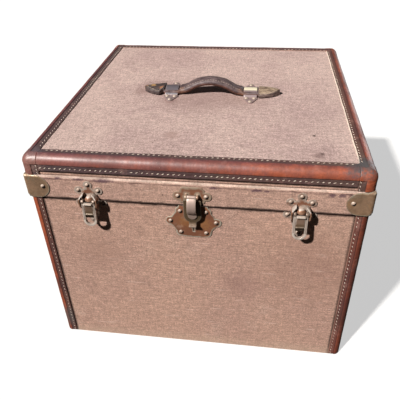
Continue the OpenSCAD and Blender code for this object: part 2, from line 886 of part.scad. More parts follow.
module lid_rivets() {
    brass_x = hx + band_out + brass_t - 28;
    brass_y = hy + band_out + brass_t - 28;
    brass_z = joint_h + band_h / 2 + 1;
    color(iron_c) {
        for (side = [-1, 1]) {
            rivets_front(-lid_plate_face, moved(latch_lid_rivets, side * latch_x, joint_h));
            rivets_back(lid_plate_face, moved(hinge_lid_rivets, side * latch_x, joint_h));
            rivets_front(-hy - band_out - brass_t, [[side * brass_x, brass_z]]);
            rivets_back(hy + band_out + brass_t, [[side * brass_x, brass_z]]);
            for (sy = [-1, 1]) translate([side * (hx + band_out + brass_t), sy * brass_y, brass_z])
                rotate([0, side * 90, 0]) rivet_head();
            translate([handle_x + side * loop_x, -handle_y, lid_top + loop_t])
                for (p = concat(loop_rivets, [for (q = loop_rivets) [q[0], -q[1]]]))
                    translate(p) rivet_head();
        }
        rivets_front(-lid_plate_face, moved(hasp_lid_rivets, 0, joint_h));
    }
}

// Handle: a rolled leather grip on two pointed end straps, sliding in two metal loops

module grip_section() {
    r = grip_t / 2;
    square([grip_t, grip_w - grip_t], center = true);
    for (s = [-1, 1]) translate([0, s * (grip_w - grip_t) / 2]) circle(r);
}

module handle_grip() {
    color(flange_c) translate([handle_x, -handle_y, grip_z + grip_rise - arch_r])
        rotate([90, 0, 0]) rotate([0, 0, 90 - arch_angle])
            rotate_extrude(angle = 2 * arch_angle) translate([arch_r, 0]) grip_section();
}

module handle_ends() {
    color(flange_c) translate([handle_x, -handle_y, 0]) for (s = [-1, 1]) mirror([s > 0 ? 0 : 1, 0, 0]) {
        // Root of the grip, curved the other way
        translate([grip_half, 0, grip_z + foot_r]) rotate([90, 0, 0]) rotate([0, 0, -90 - arch_angle])
            rotate_extrude(angle = arch_angle) translate([foot_r, 0]) grip_section();
        // Strap through the loop
        across(grip_half - strap_lap, shoulder_x - grip_half + strap_lap + 2) strap_section(strap_half);
        // Pointed end with a crown
        intersection() {
            translate([0, 0, lid_top + bend_gap]) linear_extrude(far) pointed_end();
            across(0, far) translate([0, lid_top + tip_h - crown_r()]) circle(crown_r());
        }
    }
}

function crown_r() = (pow(tip_w / 2, 2) + pow(4.5, 2)) / 9;

module strap_section(half) {
    intersection() {
        translate([0, loop_axis]) circle(loop_r - loop_t - run_gap);
        translate([-half, lid_top + bend_gap]) square([2 * half, far]);
    }
}

module pointed_end() {
    side_y = (pow(tip_l, 2) - pow(tip_w / 2, 2)) / tip_w;
    intersection() {
        translate([shoulder_x, side_y]) circle(side_y + tip_w / 2);
        translate([shoulder_x, -side_y]) circle(side_y + tip_w / 2);
        translate([shoulder_x, -tip_w]) square([2 * tip_l, 2 * tip_w]);
    }
}

module handle_loop(side) {
    color(iron_c) translate([handle_x + side * loop_x, -handle_y, 0]) {
        across(-loop_w / 2, loop_w) intersection() {
            difference() {
                translate([0, loop_axis]) circle(loop_r);
                translate([0, loop_axis]) circle(loop_r - loop_t);
            }
            translate([-far / 2, lid_top]) square([far, far]);
        }
        translate([0, 0, lid_top]) linear_extrude(loop_t) for (s = [-1, 1]) mirror([0, s > 0 ? 0 : 1]) {
            translate([-loop_w / 2, loop_half - loop_t]) square([loop_w, 4]);
            polygon([[-11, 20], [11, 20], [11, 22], [5, 35], [-5, 35], [-11, 22]]);
            for (p = loop_rivets) translate(p) circle(5.2);
        }
    }
}

base_front_board();
base_back_board();
base_side_board(-1);  // base_left_board
base_side_board(1);  // base_right_board
base_bottom_board();
base_canvas();
bottom_canvas();
base_lining();
dust_lip();
post_leather(-1, -1);  // post_leather_front_left
post_leather(1, -1);  // post_leather_front_right
post_leather(-1, 1);  // post_leather_back_left
post_leather(1, 1);  // post_leather_back_right
latch_plate(-1);  // latch_plate_left
latch_lever(-1);  // latch_lever_left
latch_link(-1);  // latch_link_left
latch_catch(-1);  // latch_catch_left
latch_plate(1);  // latch_plate_right
latch_lever(1);  // latch_lever_right
latch_link(1);  // latch_link_right
latch_catch(1);  // latch_catch_right
latch_pivots();
lock_plate();
lock_case();
lock_bolt();
hasp_plate();
hasp_pin();
hasp();
hinge_base_leaf(-1);  // hinge_base_leaf_left
hinge_lid_leaf(-1);  // hinge_lid_leaf_left
hinge_base_leaf(1);  // hinge_base_leaf_right
hinge_lid_leaf(1);  // hinge_lid_leaf_right
hinge_pins();
lid_top_board();
lid_wall_y(-1);  // lid_front_board
lid_wall_y(1);  // lid_back_board
lid_wall_x(-1);  // lid_left_board
lid_wall_x(1);  // lid_right_board
lid_canvas();
lid_lining();
lid_band();
band_canvas();
edge_leather_y(-1);  // edge_leather_front
edge_leather_y(1);  // edge_leather_back
edge_leather_x(-1);  // edge_leather_left
edge_leather_x(1);  // edge_leather_right
cap_leather(-1, -1);  // cap_leather_front_left
cap_leather(1, -1);  // cap_leather_front_right
cap_leather(-1, 1);  // cap_leather_back_left
cap_leather(1, 1);  // cap_leather_back_right
brass_corner(-1, -1);  // brass_corner_front_left
brass_corner(1, -1);  // brass_corner_front_right
brass_corner(-1, 1);  // brass_corner_back_left
brass_corner(1, 1);  // brass_corner_back_right
base_rivets();
lid_rivets();
handle_grip();
handle_ends();
handle_loop(-1);  // handle_loop_left
handle_loop(1);  // handle_loop_right
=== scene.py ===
# %% [markdown]
# # Dressing a travel trunk
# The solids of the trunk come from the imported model, in metres, with the joints' bodies. This notebook gives
# them their looks: painted canvas, padded leather binding with its stitching, worn stamped metal and a rolled
# leather handle. Every new piece is a surface worked out with numpy, and every finish is made of shader nodes,
# so nothing but the frame is read from disk.

import json
import math

import bmesh
import bpy
import numpy as np
from mathutils import Matrix, Vector


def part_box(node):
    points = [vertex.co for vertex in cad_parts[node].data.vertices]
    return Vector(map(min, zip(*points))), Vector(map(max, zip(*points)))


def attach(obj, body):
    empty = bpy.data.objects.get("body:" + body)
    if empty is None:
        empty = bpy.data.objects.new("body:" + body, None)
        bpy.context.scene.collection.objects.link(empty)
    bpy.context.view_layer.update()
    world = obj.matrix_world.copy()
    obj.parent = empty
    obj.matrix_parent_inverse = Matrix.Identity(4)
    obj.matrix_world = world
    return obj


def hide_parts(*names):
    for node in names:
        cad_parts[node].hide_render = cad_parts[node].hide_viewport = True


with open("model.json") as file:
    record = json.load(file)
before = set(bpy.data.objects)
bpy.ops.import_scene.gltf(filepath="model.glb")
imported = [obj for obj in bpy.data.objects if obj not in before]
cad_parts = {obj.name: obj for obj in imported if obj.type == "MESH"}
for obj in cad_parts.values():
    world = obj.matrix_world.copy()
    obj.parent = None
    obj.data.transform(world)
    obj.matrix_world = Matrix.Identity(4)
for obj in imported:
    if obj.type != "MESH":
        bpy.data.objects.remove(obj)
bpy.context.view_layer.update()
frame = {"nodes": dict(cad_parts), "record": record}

# %% [markdown]
# The sizes that the new pieces need are read from the frame's own nodes, so that they sit on the solids. Only
# what a box can't tell is typed, such as a rounding's radius or the place of a stain.

# %% Sizes of the case
MM = 0.001
SIDES = ["front", "right", "back", "left"]
CORNERS = ["front_left", "front_right", "back_right", "back_left"]
NEXT_CORNER = CORNERS[1:] + CORNERS[:1]
lid_low, lid_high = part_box("lid_canvas")
HALF, LID_TOP, JOINT = lid_high.x, lid_high.z, lid_low.z
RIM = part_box("base_canvas")[1].z
BAND_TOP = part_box("band_canvas")[1].z
EDGE_R, UPRIGHT_R = 11 * MM, 9 * MM
BODY = {node: body for body, nodes in frame["record"]["behaviour"]["bodies"].items() for node in nodes}
print(f"half width {HALF:.4f}, joint {JOINT:.4f}, band top {BAND_TOP:.4f}, lid top {LID_TOP:.4f}")

# %% [markdown]
# ## Tools for finishes
# A finish is built from many small steps, so a node tree is written here like a sum. A Value is one output of a
# node. The signs between Values and the calls on them add one node each and give the next Value.

# %% Values
def srgb(red, green, blue):
    """Colour typed as 0 to 255 turned to the linear light that shaders work in."""
    c = np.array([red, green, blue]) / 255
    linear = np.where(c <= 0.04045, c / 12.92, ((c + 0.055) / 1.055) ** 2.4)
    return (*linear.tolist(), 1)


def step(operation, turned=False):
    """Makes a method that adds one Math node. turned puts the Value in the second place."""
    def method(self, other=0.0):
        first, second = (other, self) if turned else (self, other)
        return self.net.add("Math", operation=operation, _0=first, _1=second)
    return method


class Value:
    """One output of a node in a net."""

    def __init__(self, net, socket):
        self.net, self.socket = net, socket

    __add__ = __radd__ = step("ADD")
    __mul__ = __rmul__ = step("MULTIPLY")
    __sub__, __rsub__, __truediv__ = step("SUBTRACT"), step("SUBTRACT", True), step("DIVIDE")
    __gt__, __lt__, larger = step("GREATER_THAN"), step("LESS_THAN"), step("MAXIMUM")
    __abs__, sine, floor = step("ABSOLUTE"), step("SINE"), step("FLOOR")

    def ramp(self, low, high, out_low=0.0, out_high=1.0):
        """Smooth step from out_low at low to out_high at high."""
        return self.net.add("MapRange", interpolation_type="SMOOTHSTEP", _0=self, _1=low, _2=high, _3=out_low,
                            _4=out_high)


# %% [markdown]
# A Net is a node tree, and a Group is a net with named inputs that several finishes share. A Finish is a material:
# its colour is laid on in layers, each over the one before, and set on the Principled shader at the end.

# %% Nets, groups and finishes
class Net:
    def __init__(self, tree):
        self.tree = tree

    def node(self, kind, **given):
        """One node. Names that start with a small letter are its settings, the others are its sockets, and _0 is
        its first socket."""
        node = self.tree.nodes.new("ShaderNode" + kind)
        for key, value in given.items():
            if key[0].islower():
                setattr(node, key, value)
            else:
                self.set(node, key, value)
        return node

    def set(self, node, key, value):
        key = key.replace("_", " ").strip()
        socket = node.inputs[int(key) if key.isdigit() else key]
        value = getattr(value, "socket", value)
        if isinstance(value, bpy.types.NodeSocket):
            self.tree.links.new(value, socket)
        else:
            socket.default_value = value

    def add(self, kind, output=0, **given):
        """One node, of which one output is used."""
        return Value(self, self.node(kind, **given).outputs[output])

    def group(self, tree, **sockets):
        """Uses a group and gives its outputs by name."""
        node = self.node("Group", node_tree=tree, **sockets)
        return {output.name: Value(self, output) for output in node.outputs}

    @property
    def place(self):
        return self.add("TexCoord", "Object")

    def parts(self, vector):
        return [Value(self, output) for output in self.node("SeparateXYZ", Vector=vector).outputs]

    def vector(self, operation, first, second=(0, 0, 0), output=0):
        return self.add("VectorMath", output, operation=operation, _0=first, _1=second)

    def carried(self, name):
        """A number that the mesh carries at its points."""
        return self.add("Attribute", "Fac", attribute_name=name)

    def scaled(self, vector, *scale):
        return self.add("Mapping", Vector=vector, Scale=scale)

    def noise(self, vector, scale, detail=4.0, roughness=0.55, output=0):
        return self.add("TexNoise", output, Vector=vector, Scale=scale, Detail=detail, Roughness=roughness)

    def blend(self, factor, first, second, mode="MIX"):
        """Colour between first and second. Three numbers are a colour typed as 0 to 255."""
        first, second = (srgb(*c) if isinstance(c, tuple) and len(c) == 3 else c for c in (first, second))
        return self.add("Mix", 2, data_type="RGBA", blend_type=mode, _0=factor, _6=first, _7=second)

    def tinted(self, colour, value, low, high):
        """The colour times a grey that runs from low to high as the value goes from 0 to 1."""
        grey = value * (high - low) + low
        return self.blend(1.0, colour, self.add("CombineXYZ", X=grey, Y=grey, Z=grey), "MULTIPLY")


class Group(Net):
    def __init__(self, name, results, kind="Float", **inputs):
        """Inputs are given with their start values. The results are all of one kind."""
        super().__init__(bpy.data.node_groups.new(name, "ShaderNodeTree"))
        new_socket = self.tree.interface.new_socket
        for key, value in inputs.items():
            start = "NodeSocketVector" if isinstance(value, tuple) else "NodeSocketFloat"
            new_socket(key, in_out="INPUT", socket_type=start).default_value = value
        for key in results:
            new_socket(key, in_out="OUTPUT", socket_type="NodeSocket" + kind)
        entry = self.tree.nodes.new("NodeGroupInput")
        self.given = {key: Value(self, entry.outputs[key]) for key in inputs}

    def give(self, **results):
        """Joins the results to the group's outputs and gives the finished group."""
        leave = self.tree.nodes.new("NodeGroupOutput")
        for key, value in results.items():
            self.set(leave, key, value)
        return self.tree


class Finish(Net):
    def __init__(self, name, rough, specular=0.5, metallic=0.0):
        self.material = bpy.data.materials.new(name)
        self.material.use_nodes = True
        super().__init__(self.material.node_tree)
        self.shader = self.tree.nodes["Principled BSDF"]
        self.shade(Roughness=rough, Specular_IOR_Level=specular, Metallic=metallic)

    def shade(self, **sockets):
        for key, value in sockets.items():
            self.set(self.shader, key, value)

    def lay(self, mask, tint):
        """Lays a colour over the finish where the mask is 1."""
        self.colour = self.blend(mask, self.colour, tint)

    def vary(self, value, low, high):
        """Multiplies the colour by a grey from low to high."""
        self.colour = self.tinted(self.colour, value, low, high)

    def mark(self, centre, reach, tint, strength, ragged, flatten=1.0):
        """One placed spot: centre and reach in millimetres. flatten makes it that much lower."""
        spot = self.group(mark_tree, Centre=tuple(v * MM for v in centre), Reach=reach * MM, Raggedness=ragged,
                          Flatten=flatten)
        self.lay(spot["Mask"] * strength, tint)

    def bump(self, height, depth, strength):
        """Height in 0..1 raised by depth metres, felt through the shader's normal."""
        self.shade(Normal=self.add("Bump", Strength=strength, Distance=depth, Height=height))

    def done(self):
        """Hands the colour to the shader and gives the material."""
        self.shade(Base_Color=self.colour)
        return self.material


# %% [markdown]
# ## Camera, floor and light
# The photograph looks down on the trunk from a standing person's height, a little from the right. The camera's
# place was solved from the trunk's corners. Its focal length in pixels over the 400 pixels of the picture, times
# the 36 mm sensor, gives the lens. The picture's centre lies below the point that the lens looks at, so the
# sensor is shifted by that part of its width.

# %% Camera
def put(name, data):
    """New object in the scene."""
    thing = bpy.data.objects.new(name, data)
    bpy.context.scene.collection.objects.link(thing)
    return thing


FOCAL_PIXELS, PICTURE_PIXELS, LENS_CENTRE_ROW = 459.7, 400, 170
CAMERA_PLACE = (0.08578, -0.74215, 0.69732)
RIGHT, DOWN, AHEAD = (0.99137, 0.12856, -0.02579), (0.04939, -0.54835, -0.83479), (-0.12147, 0.82631, -0.54996)
camera_data = bpy.data.cameras.new("camera")
camera_data.sensor_width = 36
camera_data.lens = FOCAL_PIXELS / PICTURE_PIXELS * camera_data.sensor_width
camera_data.shift_y = (LENS_CENTRE_ROW - PICTURE_PIXELS / 2) / PICTURE_PIXELS
camera_data.clip_start = 0.01
camera = put("camera", camera_data)
turn = np.eye(4)
turn[:3, :3] = np.stack([RIGHT, DOWN, AHEAD], axis=1) * (1, -1, -1)
camera.matrix_world = Matrix.Translation(CAMERA_PLACE) @ Matrix(turn.tolist())
bpy.context.scene.camera = camera
print("lens", round(camera_data.lens, 2), "mm")

# %% [markdown]
# The floor is one pale sheet. Seen by the camera it is nearly white and keeps the shadow. Light that bounces off
# it meets a darker colour, so that the trunk's own shadows stay deep, as they are out of doors on grass.

# %% Floor
FLOOR_HALF, FLOOR_GLOW = 6.0, 0.55
FLOOR_BOUNCE, FLOOR_SEEN = (0.024, 0.021, 0.019, 1), (0.86, 0.86, 0.85, 1)
look = Finish("pale_floor", 0.9, 0.1)
seen = look.add("LightPath", "Is Camera Ray")
look.colour = look.blend(seen, FLOOR_BOUNCE, FLOOR_SEEN)
glow = look.add("Emission", Strength=1.0)
both = look.add("MixShader", _0=seen * FLOOR_GLOW, _1=look.shader.outputs[0], _2=glow)
look.set(look.tree.nodes["Material Output"], "Surface", both)
floor_mesh = bpy.data.meshes.new("floor")
floor_corners = np.array([[-1, -1, 0], [1, -1, 0], [1, 1, 0], [-1, 1, 0]]) * FLOOR_HALF
floor_mesh.from_pydata(floor_corners.tolist(), [], [(0, 1, 2, 3)])
floor_mesh.materials.append(look.done())
put("floor", floor_mesh)

# %% [markdown]
# The key lamp shines from high on the left in front, as the daylight does in the photograph, so that rivets, rings
# and hasp throw their shadows to the lower right. It is far away, so the floor is lit evenly. A wide weak lamp
# behind the trunk lights its far sides, and the pale surroundings fill the shadows a little.

# %% Lamps and surroundings
def lamp(name, kind, place, way, **settings):
    """Lamp at the place that shines the given way."""
    data = bpy.data.lights.new(name, kind)
    for key, value in settings.items():
        setattr(data, key, value)
    thing = put(name, data)
    thing.location = place
    thing.rotation_euler = way.to_track_quat("-Z", "Y").to_euler()


FILL_PLACE = Vector((2.2, 2.6, 0.7))
lamp("key_lamp", "SUN", (0, 0, 0), Vector((12.5, 15.5, -19.5)), energy=6.15, angle=math.radians(2.6),
     color=(1.0, 0.965, 0.92))
lamp("fill_lamp", "AREA", FILL_PLACE, -FILL_PLACE, shape="DISK", size=1.6, energy=22, color=(0.93, 0.96, 1.0))

world = bpy.data.worlds.new("surroundings")
bpy.context.scene.world = world
world.use_nodes = True
sky = Net(world.node_tree)
dim = sky.tree.nodes["Background"]
sky.set(dim, "Color", (0.95, 0.97, 1.0, 1))
sky.set(dim, "Strength", 0.018)
white = sky.add("Background", Color=(1, 1, 1, 1))
both = sky.add("MixShader", _0=sky.add("LightPath", "Is Camera Ray"), _1=dim.outputs[0], _2=white)
sky.set(sky.tree.nodes["World Output"], "Surface", both)
bpy.context.scene.view_settings.view_transform = "Standard"

# %% [markdown]
# ## Tools for surfaces
# A piece is a grid of points: rows follow the piece, columns go round or across it. The faces of such a grid are
# one sum of index arrays, and the whole array goes into the mesh at once.

# %% Mesh helpers
def grid_faces(rows, cols, close_cols=False):
    """Quads of a grid of points: each joins a point, its neighbour in the row, and both of the next row."""
    r = np.arange(rows - 1)[:, None]
    c = np.arange(cols if close_cols else cols - 1)[None, :]
    right = (c + 1) % cols
    quads = np.stack([r * cols + c, r * cols + right, (r + 1) * cols + right, (r + 1) * cols + c], axis=-1)
    return quads.reshape(-1, 4)


def swept(sections):
    """Faces of closed sections joined in a row, with both ends filled: sections is stations x points x 3."""
    rows, cols = sections.shape[:2]
    ends = [list(range(cols)), list(range((rows - 1) * cols, rows * cols))]
    return grid_faces(rows, cols, close_cols=True).tolist() + ends


def repeated(faces, count):
    """The faces of one small part, once for every copy: the numbers of its points plus k times how many it has."""
    starts = (max(map(max, faces)) + 1) * np.arange(count)[:, None]
    return [copy for face in faces for copy in (np.array(face) + starts).tolist()]


def carry(mesh, key, value):
    """Gives the mesh a number for each of its points, which its finish can read."""
    store = mesh.attributes.new(key, "FLOAT", "POINT")
    store.data.foreach_set("value", np.asarray(value, np.float32).ravel())


def make_piece(name, points, faces, **values):
    """Closed mesh from an array of points and lists of point numbers. values are carried at the points."""
    mesh = bpy.data.meshes.new(name)
    mesh.from_pydata(np.asarray(points, float).reshape(-1, 3).tolist(), [], faces)
    for key, value in values.items():
        carry(mesh, key, value)
    mesh.polygons.foreach_set("use_smooth", np.ones(len(mesh.polygons), bool))
    shape = bmesh.new()
    shape.from_mesh(mesh)
    bmesh.ops.recalc_face_normals(shape, faces=shape.faces)
    shape.to_mesh(mesh)
    shape.free()
    return put(name, mesh)


def dress(piece, body, slot, material, *nodes):
    """The piece rides on its body, takes the given material, and stands for the named solids. The slot is not used.
    """
    piece.data.materials.append(material)
    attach(piece, body)
    if nodes:
        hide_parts(*nodes)
    return piece


def rise(x, start, end):
    """Smooth step: 3t^2 - 2t^3 of how far x is from start to end."""
    t = np.clip((x - start) / (end - start), 0, 1)
    return t * t * (3 - 2 * t)


def bump_at(x, centre, width):
    """Bell curve exp(-((x - centre) / width)^2)."""
    return np.exp(-(((x - centre) / width) ** 2))


def ripple(x, seed, longest=0.2, waves=7):
    """Uneven wave between about -1 and 1: the sum of sines with seeded phases, each 1.7 times shorter and a quarter
    lower than the one before."""
    rng = np.random.default_rng(seed)
    total = np.zeros_like(np.asarray(x, float))
    for k in range(waves):
        length = longest / 1.7**k
        total += np.sin(2 * np.pi * np.asarray(x) / length + rng.uniform(0, 2 * np.pi)) * 0.75**k
    return total / 2.2


def quarter_turn(x, y, z, turns):
    """Points turned about the Z axis by whole quarter turns: (x, y) becomes (-y, x) once per turn."""
    for _ in range(turns):
        x, y = -y, x
    return np.stack([x, y, z], axis=-1)


print("ripple from", ripple(np.linspace(0, 1, 500), 3).min().round(2), "up")

# %% [markdown]
# ## Shared groups
# A plain weave shows each thread as a low hump that dives under its neighbour. The height is the larger of two
# rows of humps, one along each thread direction, and a slow sine lets every second crossing dive. The threads run
# in the plane of the wall, so a first group picks the two coordinates that lie in the face. A face looks along an
# axis where that part of its normal is over 0.6.

# %% Weave group
FACING, THREAD = 0.6, 1.35 * MM
net = Group("coordinates_in_the_face", ["Flat"], "Vector")
side, _, up = (abs(part) > FACING for part in net.parts(net.add("TexCoord", "Normal")))
x, y, z = net.parts(net.place)
flat_tree = net.give(Flat=net.add("CombineXYZ", X=y * side + x * (1 - side), Y=y * up + z * (1 - up)))


def hump(row, crossing):
    """|sin| of the thread's own row, raised and lowered where it crosses over and under."""
    over = ((crossing + row.floor()) * math.pi).sine()
    return abs((row * math.pi).sine()) * (over * 0.3 + 0.7)


net = Group("plain_weave", ["Height", "Uneven"])
flat = net.group(flat_tree)["Flat"]
wander = net.add("VectorMath", operation="SCALE", Vector=net.noise(flat, 260.0, 3.0, output=1), Scale=0.9 * MM)
warp, weft, _ = (part / THREAD for part in net.parts(net.vector("ADD", flat, wander)))
slubs = net.noise(net.scaled(flat, 1.0, 6.0, 1.0), 90.0, 5.0, 0.6)
weave_tree = net.give(Height=hump(warp, weft).larger(hump(weft, warp + 1.0)), Uneven=slubs)
print("weave group has", len(weave_tree.nodes), "nodes")

# %% [markdown]
# Age lays broad uneven blotches over a finish, and dirt leaves small specks. Both are noise that is cut by a
# smooth ramp. A mark is one spot at a known place, its outline broken by noise.

# %% Age and mark groups
net = Group("age", ["Blotch", "Pale", "Speck", "Grime"], Size=8.0, Seed=0.0)
size, seed = net.given["Size"], net.given["Seed"]
moved = net.vector("ADD", net.place, net.add("CombineXYZ", X=seed, Y=seed * 1.7))
spots = net.add("TexVoronoi", "Distance", Vector=moved, Scale=size * 22.0)
age_tree = net.give(
    Blotch=net.noise(moved, size, 6.0, 0.62).ramp(0.4, 0.64),
    Pale=net.noise(moved, size * 2.7, 8.0, 0.66).ramp(0.54, 0.7),
    Speck=(1 - spots.ramp(0.06, 0.2)) * net.noise(moved, size * 5.0, 2.0).ramp(0.6, 0.68),
    Grime=net.noise(moved, size * 0.45, 5.0, 0.6).ramp(0.45, 0.7),
)

net = Group("mark", ["Mask"], Centre=(0, 0, 0), Reach=0.01, Raggedness=0.5, Flatten=1.0)
apart = net.vector("SUBTRACT", net.place, net.given["Centre"])
pressed = net.vector("MULTIPLY", apart, net.add("CombineXYZ", X=1.0, Y=1.0, Z=net.given["Flatten"]))
away = net.vector("LENGTH", pressed, output="Value")
rag = (net.noise(net.place, 260.0, 9.0, 0.74) - 0.5) * net.given["Raggedness"]
mark_tree = net.give(Mask=(away / net.given["Reach"] + rag * 3.0).ramp(1.3, 0.3))

# %% [markdown]
# ## Painted canvas
# The case is wrapped in painted canvas. On top it has faded to a dusty pink beige, paler and greyer than the
# sides, which have kept more brown; part of that top colour is painted skylight. The threads stand out because
# paint wears off the humps and dirt stays between them. Long thin noise along and across gives single threads
# their own shade, and noise that is stretched eleven times and cut high makes thin scratches. A stretch has its
# scale and how much it changes the shade. A scratch has its slant, its scale, where it is cut and how far it is
# moved.

# %% Canvas cloth
STRETCHES = (((0.1, 1.0, 1.0), 0.15), ((1.0, 0.1, 1.0), 0.07))
SCRATCHES = ((0.5, 170.0, 0.69, 0.74, 0.0), (0.04, 150.0, 0.69, 0.75, 150.0), (0.12, 220.0, 0.67, 0.73, 220.0),
             (-0.3, 190.0, 0.69, 0.75, 190.0))


def canvas(name, top, side, seed):
    """The cloth before its own marks: top and side are its colours, seed moves its blotches and scratches."""
    look = Finish(name, 0.8, 0.22)
    age = look.group(age_tree, Size=6.0, Seed=seed)
    weave = look.group(weave_tree)
    flat = look.group(flat_tree)["Flat"]
    upward = look.parts(look.add("TexCoord", "Normal"))[2].ramp(0.35, 0.8)
    # Faces that look up take the top colour: fading and dust, and in part painted skylight.
    look.colour = look.blend(upward, side, top)
    look.lay(age["Blotch"] * (upward * 0.25 + 0.25), look.blend(0.55, look.colour, (126, 92, 100)))
    grain = look.noise(flat, 420.0, 6.0, 0.78)
    look.vary(grain.ramp(0.34, 0.66), 0.64, 1.3)
    look.vary(look.noise(flat, 150.0, 4.0, 0.65).ramp(0.32, 0.68), 0.87, 1.13)
    for stretch, change in STRETCHES:
        run = look.noise(look.scaled(flat, *stretch), 420.0, 3.0, 0.6)
        look.vary(run.ramp(0.3, 0.7), 1 - change, 1 + change)
    look.vary((1 - weave["Height"]).ramp(0.2, 0.95), 1.08, 0.62)
    look.lay(age["Pale"] * grain.ramp(0.42, 0.62) * 0.35, (222, 196, 180))
    scratch = 0.0
    for angle, scale, low, high, shift in SCRATCHES:
        slanted = look.add("Mapping", Vector=flat, Location=(seed + shift, seed + shift, 0), Rotation=(0, 0, angle),
                           Scale=(0.09, 1.0, 1.0))
        scratch = look.noise(slanted, scale, 3.0, 0.5).ramp(low, high).larger(scratch)
    fleck = look.noise(flat, 240.0, 3.0, 0.6).ramp(0.66, 0.73)
    look.lay((scratch * 0.42).larger(fleck * 0.5), (228, 202, 190))
    look.lay(age["Speck"] * 0.75, (70, 44, 42))
    look.bump(grain * 0.8 + weave["Uneven"] * 0.6 + weave["Height"], 0.5 * MM, 0.85)
    return look


# %% [markdown]
# Painted shadow, with some dirt, darkens the base just under the band's overhang, the canvas beside the corner
# strips and the canvas under the hem of the lid's strip. The canvas is darker along the band's top edge, and the
# foot is dusty. The marks are stains, each with its centre, reach, colour and strength.

# %% Canvas of the case
CASE_MARKS = (
    ((166, -147, 370), 2.6, (46, 30, 28), 0.95), ((168, -202, 370), 9, (98, 74, 70), 0.5),
    ((173, -196, 370), 4, (70, 50, 48), 0.6), ((-40, -161, 370), 13, (132, 100, 90), 0.35),
    ((-16, -16, 370), 75, (132, 104, 98), 0.4), ((60, -30, 370), 40, (140, 112, 104), 0.3),
    ((-100, 10, 370), 34, (140, 110, 104), 0.35), ((-62, -44, 370), 13, (126, 98, 92), 0.5),
    ((-122, -10, 370), 15, (126, 98, 92), 0.4), ((70, -238, 150), 34, (140, 104, 100), 0.3),
    ((-150, -238, 200), 40, (146, 112, 100), 0.3), ((175, -238, 200), 85, (140, 102, 88), 0.3),
)
HEM_Z, LEDGE_END = 344.8 * MM, 352 * MM
POST_EDGE = 219.15 * MM
look = canvas("canvas_case", (197, 172, 164), (190, 154, 137), 0.0)
z = look.parts(look.place)[2]
wander = look.noise(look.place, 70.0, 5.0, 0.65) * (5 * MM) - 2.5 * MM
flat = look.group(flat_tree)["Flat"]
on_base, under_end = z < RIM + 1 * MM, z < LEDGE_END
# Painted shadow with some dirt: the base darkens just under the joint, where the band's overhang throws its shadow.
look.lay((z + wander).ramp(RIM - 8 * MM, RIM - 3.5 * MM) * on_base * 0.95, (26, 16, 16))
streak = look.noise(look.scaled(flat, 0.05, 1.0, 1.0), 700.0, 3.0, 0.6).ramp(0.35, 0.65)
look.lay((z > BAND_TOP - 1 * MM) * under_end, look.tinted(look.colour, streak, 0.8, 1.3))
beside = abs(look.parts(flat)[0]) + wander * 0.4
# Painted shadow with some grime beside each corner strip, and painted shadow with some dirt under the lid strip's
# hem.
post_shadow_and_grime = beside.ramp(POST_EDGE - 1.65 * MM, POST_EDGE + 1.65 * MM) * on_base
hem_shadow_and_dirt = (wander * 0.2 + z).ramp(HEM_Z - 0.6 * MM, HEM_Z + 0.6 * MM) * under_end
# Darker along the band's top edge.
ledge_darkening = abs(z - BAND_TOP).ramp(2.6 * MM, 0.8 * MM)
for darkening, strength in ((post_shadow_and_grime, 0.8), (hem_shadow_and_dirt, 0.95), (ledge_darkening, 0.6)):
    look.lay(darkening * strength, (34, 20, 20))
look.lay((z + wander).ramp(24 * MM, 2 * MM) * 0.35, (196, 170, 150))
for mark in CASE_MARKS:
    look.mark(*mark, 0.6)
case_canvas = look.done()

# %% [markdown]
# The band is covered with the same canvas, but it takes all the knocks. Its upper edge is rubbed to a pale peach
# line, just under it runs a row of dark scuffs, and dirt has settled along the joint. A placed scuff has its x and
# z in millimetres, its reach and how flat it is.

# %% Canvas of the band
SCUFF_TINT = (92, 66, 76)
SCUFFS = ((-125, 337.6, 15, 5.0), (-160, 338, 9, 5.0), (29, 336, 7, 3.0), (87, 335.4, 10, 3.5), (101, 335, 4, 2.5),
          (186, 334, 5, 1.6), (199, 334.6, 5, 1.6), (-190, 338, 6, 3.0))
BAND_FACE_Y = -241.5
look = canvas("canvas_band", (200, 174, 158), (189, 154, 138), 4.0)
place = look.place
wander = look.noise(place, 90.0, 5.0, 0.65) * (5 * MM) - 2.5 * MM
band_z = look.parts(place)[2] + wander
long = look.noise(look.scaled(place, 1.0, 1.0, 3.0), 26.0, 5.0, 0.65)
edge = band_z.ramp(BAND_TOP - 3.6 * MM, BAND_TOP - 1.6 * MM)
streak = look.noise(look.scaled(place, 0.05, 0.05, 1.0), 700.0, 3.0, 0.6)
look.lay(edge, look.tinted(look.colour, streak.ramp(0.35, 0.65), 0.66, 1.16))
look.lay(edge * look.noise(place, 55.0, 6.0, 0.7).ramp(0.34, 0.58, 0.1, 1.0) * 0.3, (214, 192, 180))
under_edge = abs(band_z - (BAND_TOP - 4.6 * MM)).ramp(1.6 * MM, 0.4 * MM)
look.lay(under_edge * long.ramp(0.4, 0.56, 0.3, 1.0) * 0.7, (96, 68, 64))
row = band_z.ramp(BAND_TOP - 10 * MM, BAND_TOP - 6 * MM) * band_z.ramp(BAND_TOP - 2.6 * MM, BAND_TOP - 4.4 * MM)
look.lay(row * long.ramp(0.52, 0.62) * 0.6, (70, 50, 58))
for x, z, reach, flatness in SCUFFS:
    look.mark((x, BAND_FACE_Y, z), reach, SCUFF_TINT, 0.85, 1.0, flatness)
look.lay(band_z.ramp(JOINT + 3 * MM, JOINT + 0.6 * MM) * 0.85, (40, 26, 24))
band_cloth = look.done()

# %% [markdown]
# ## Lining and wood
# These show only when the lid is lifted: a striped paper lining and the bare edge of the boards.

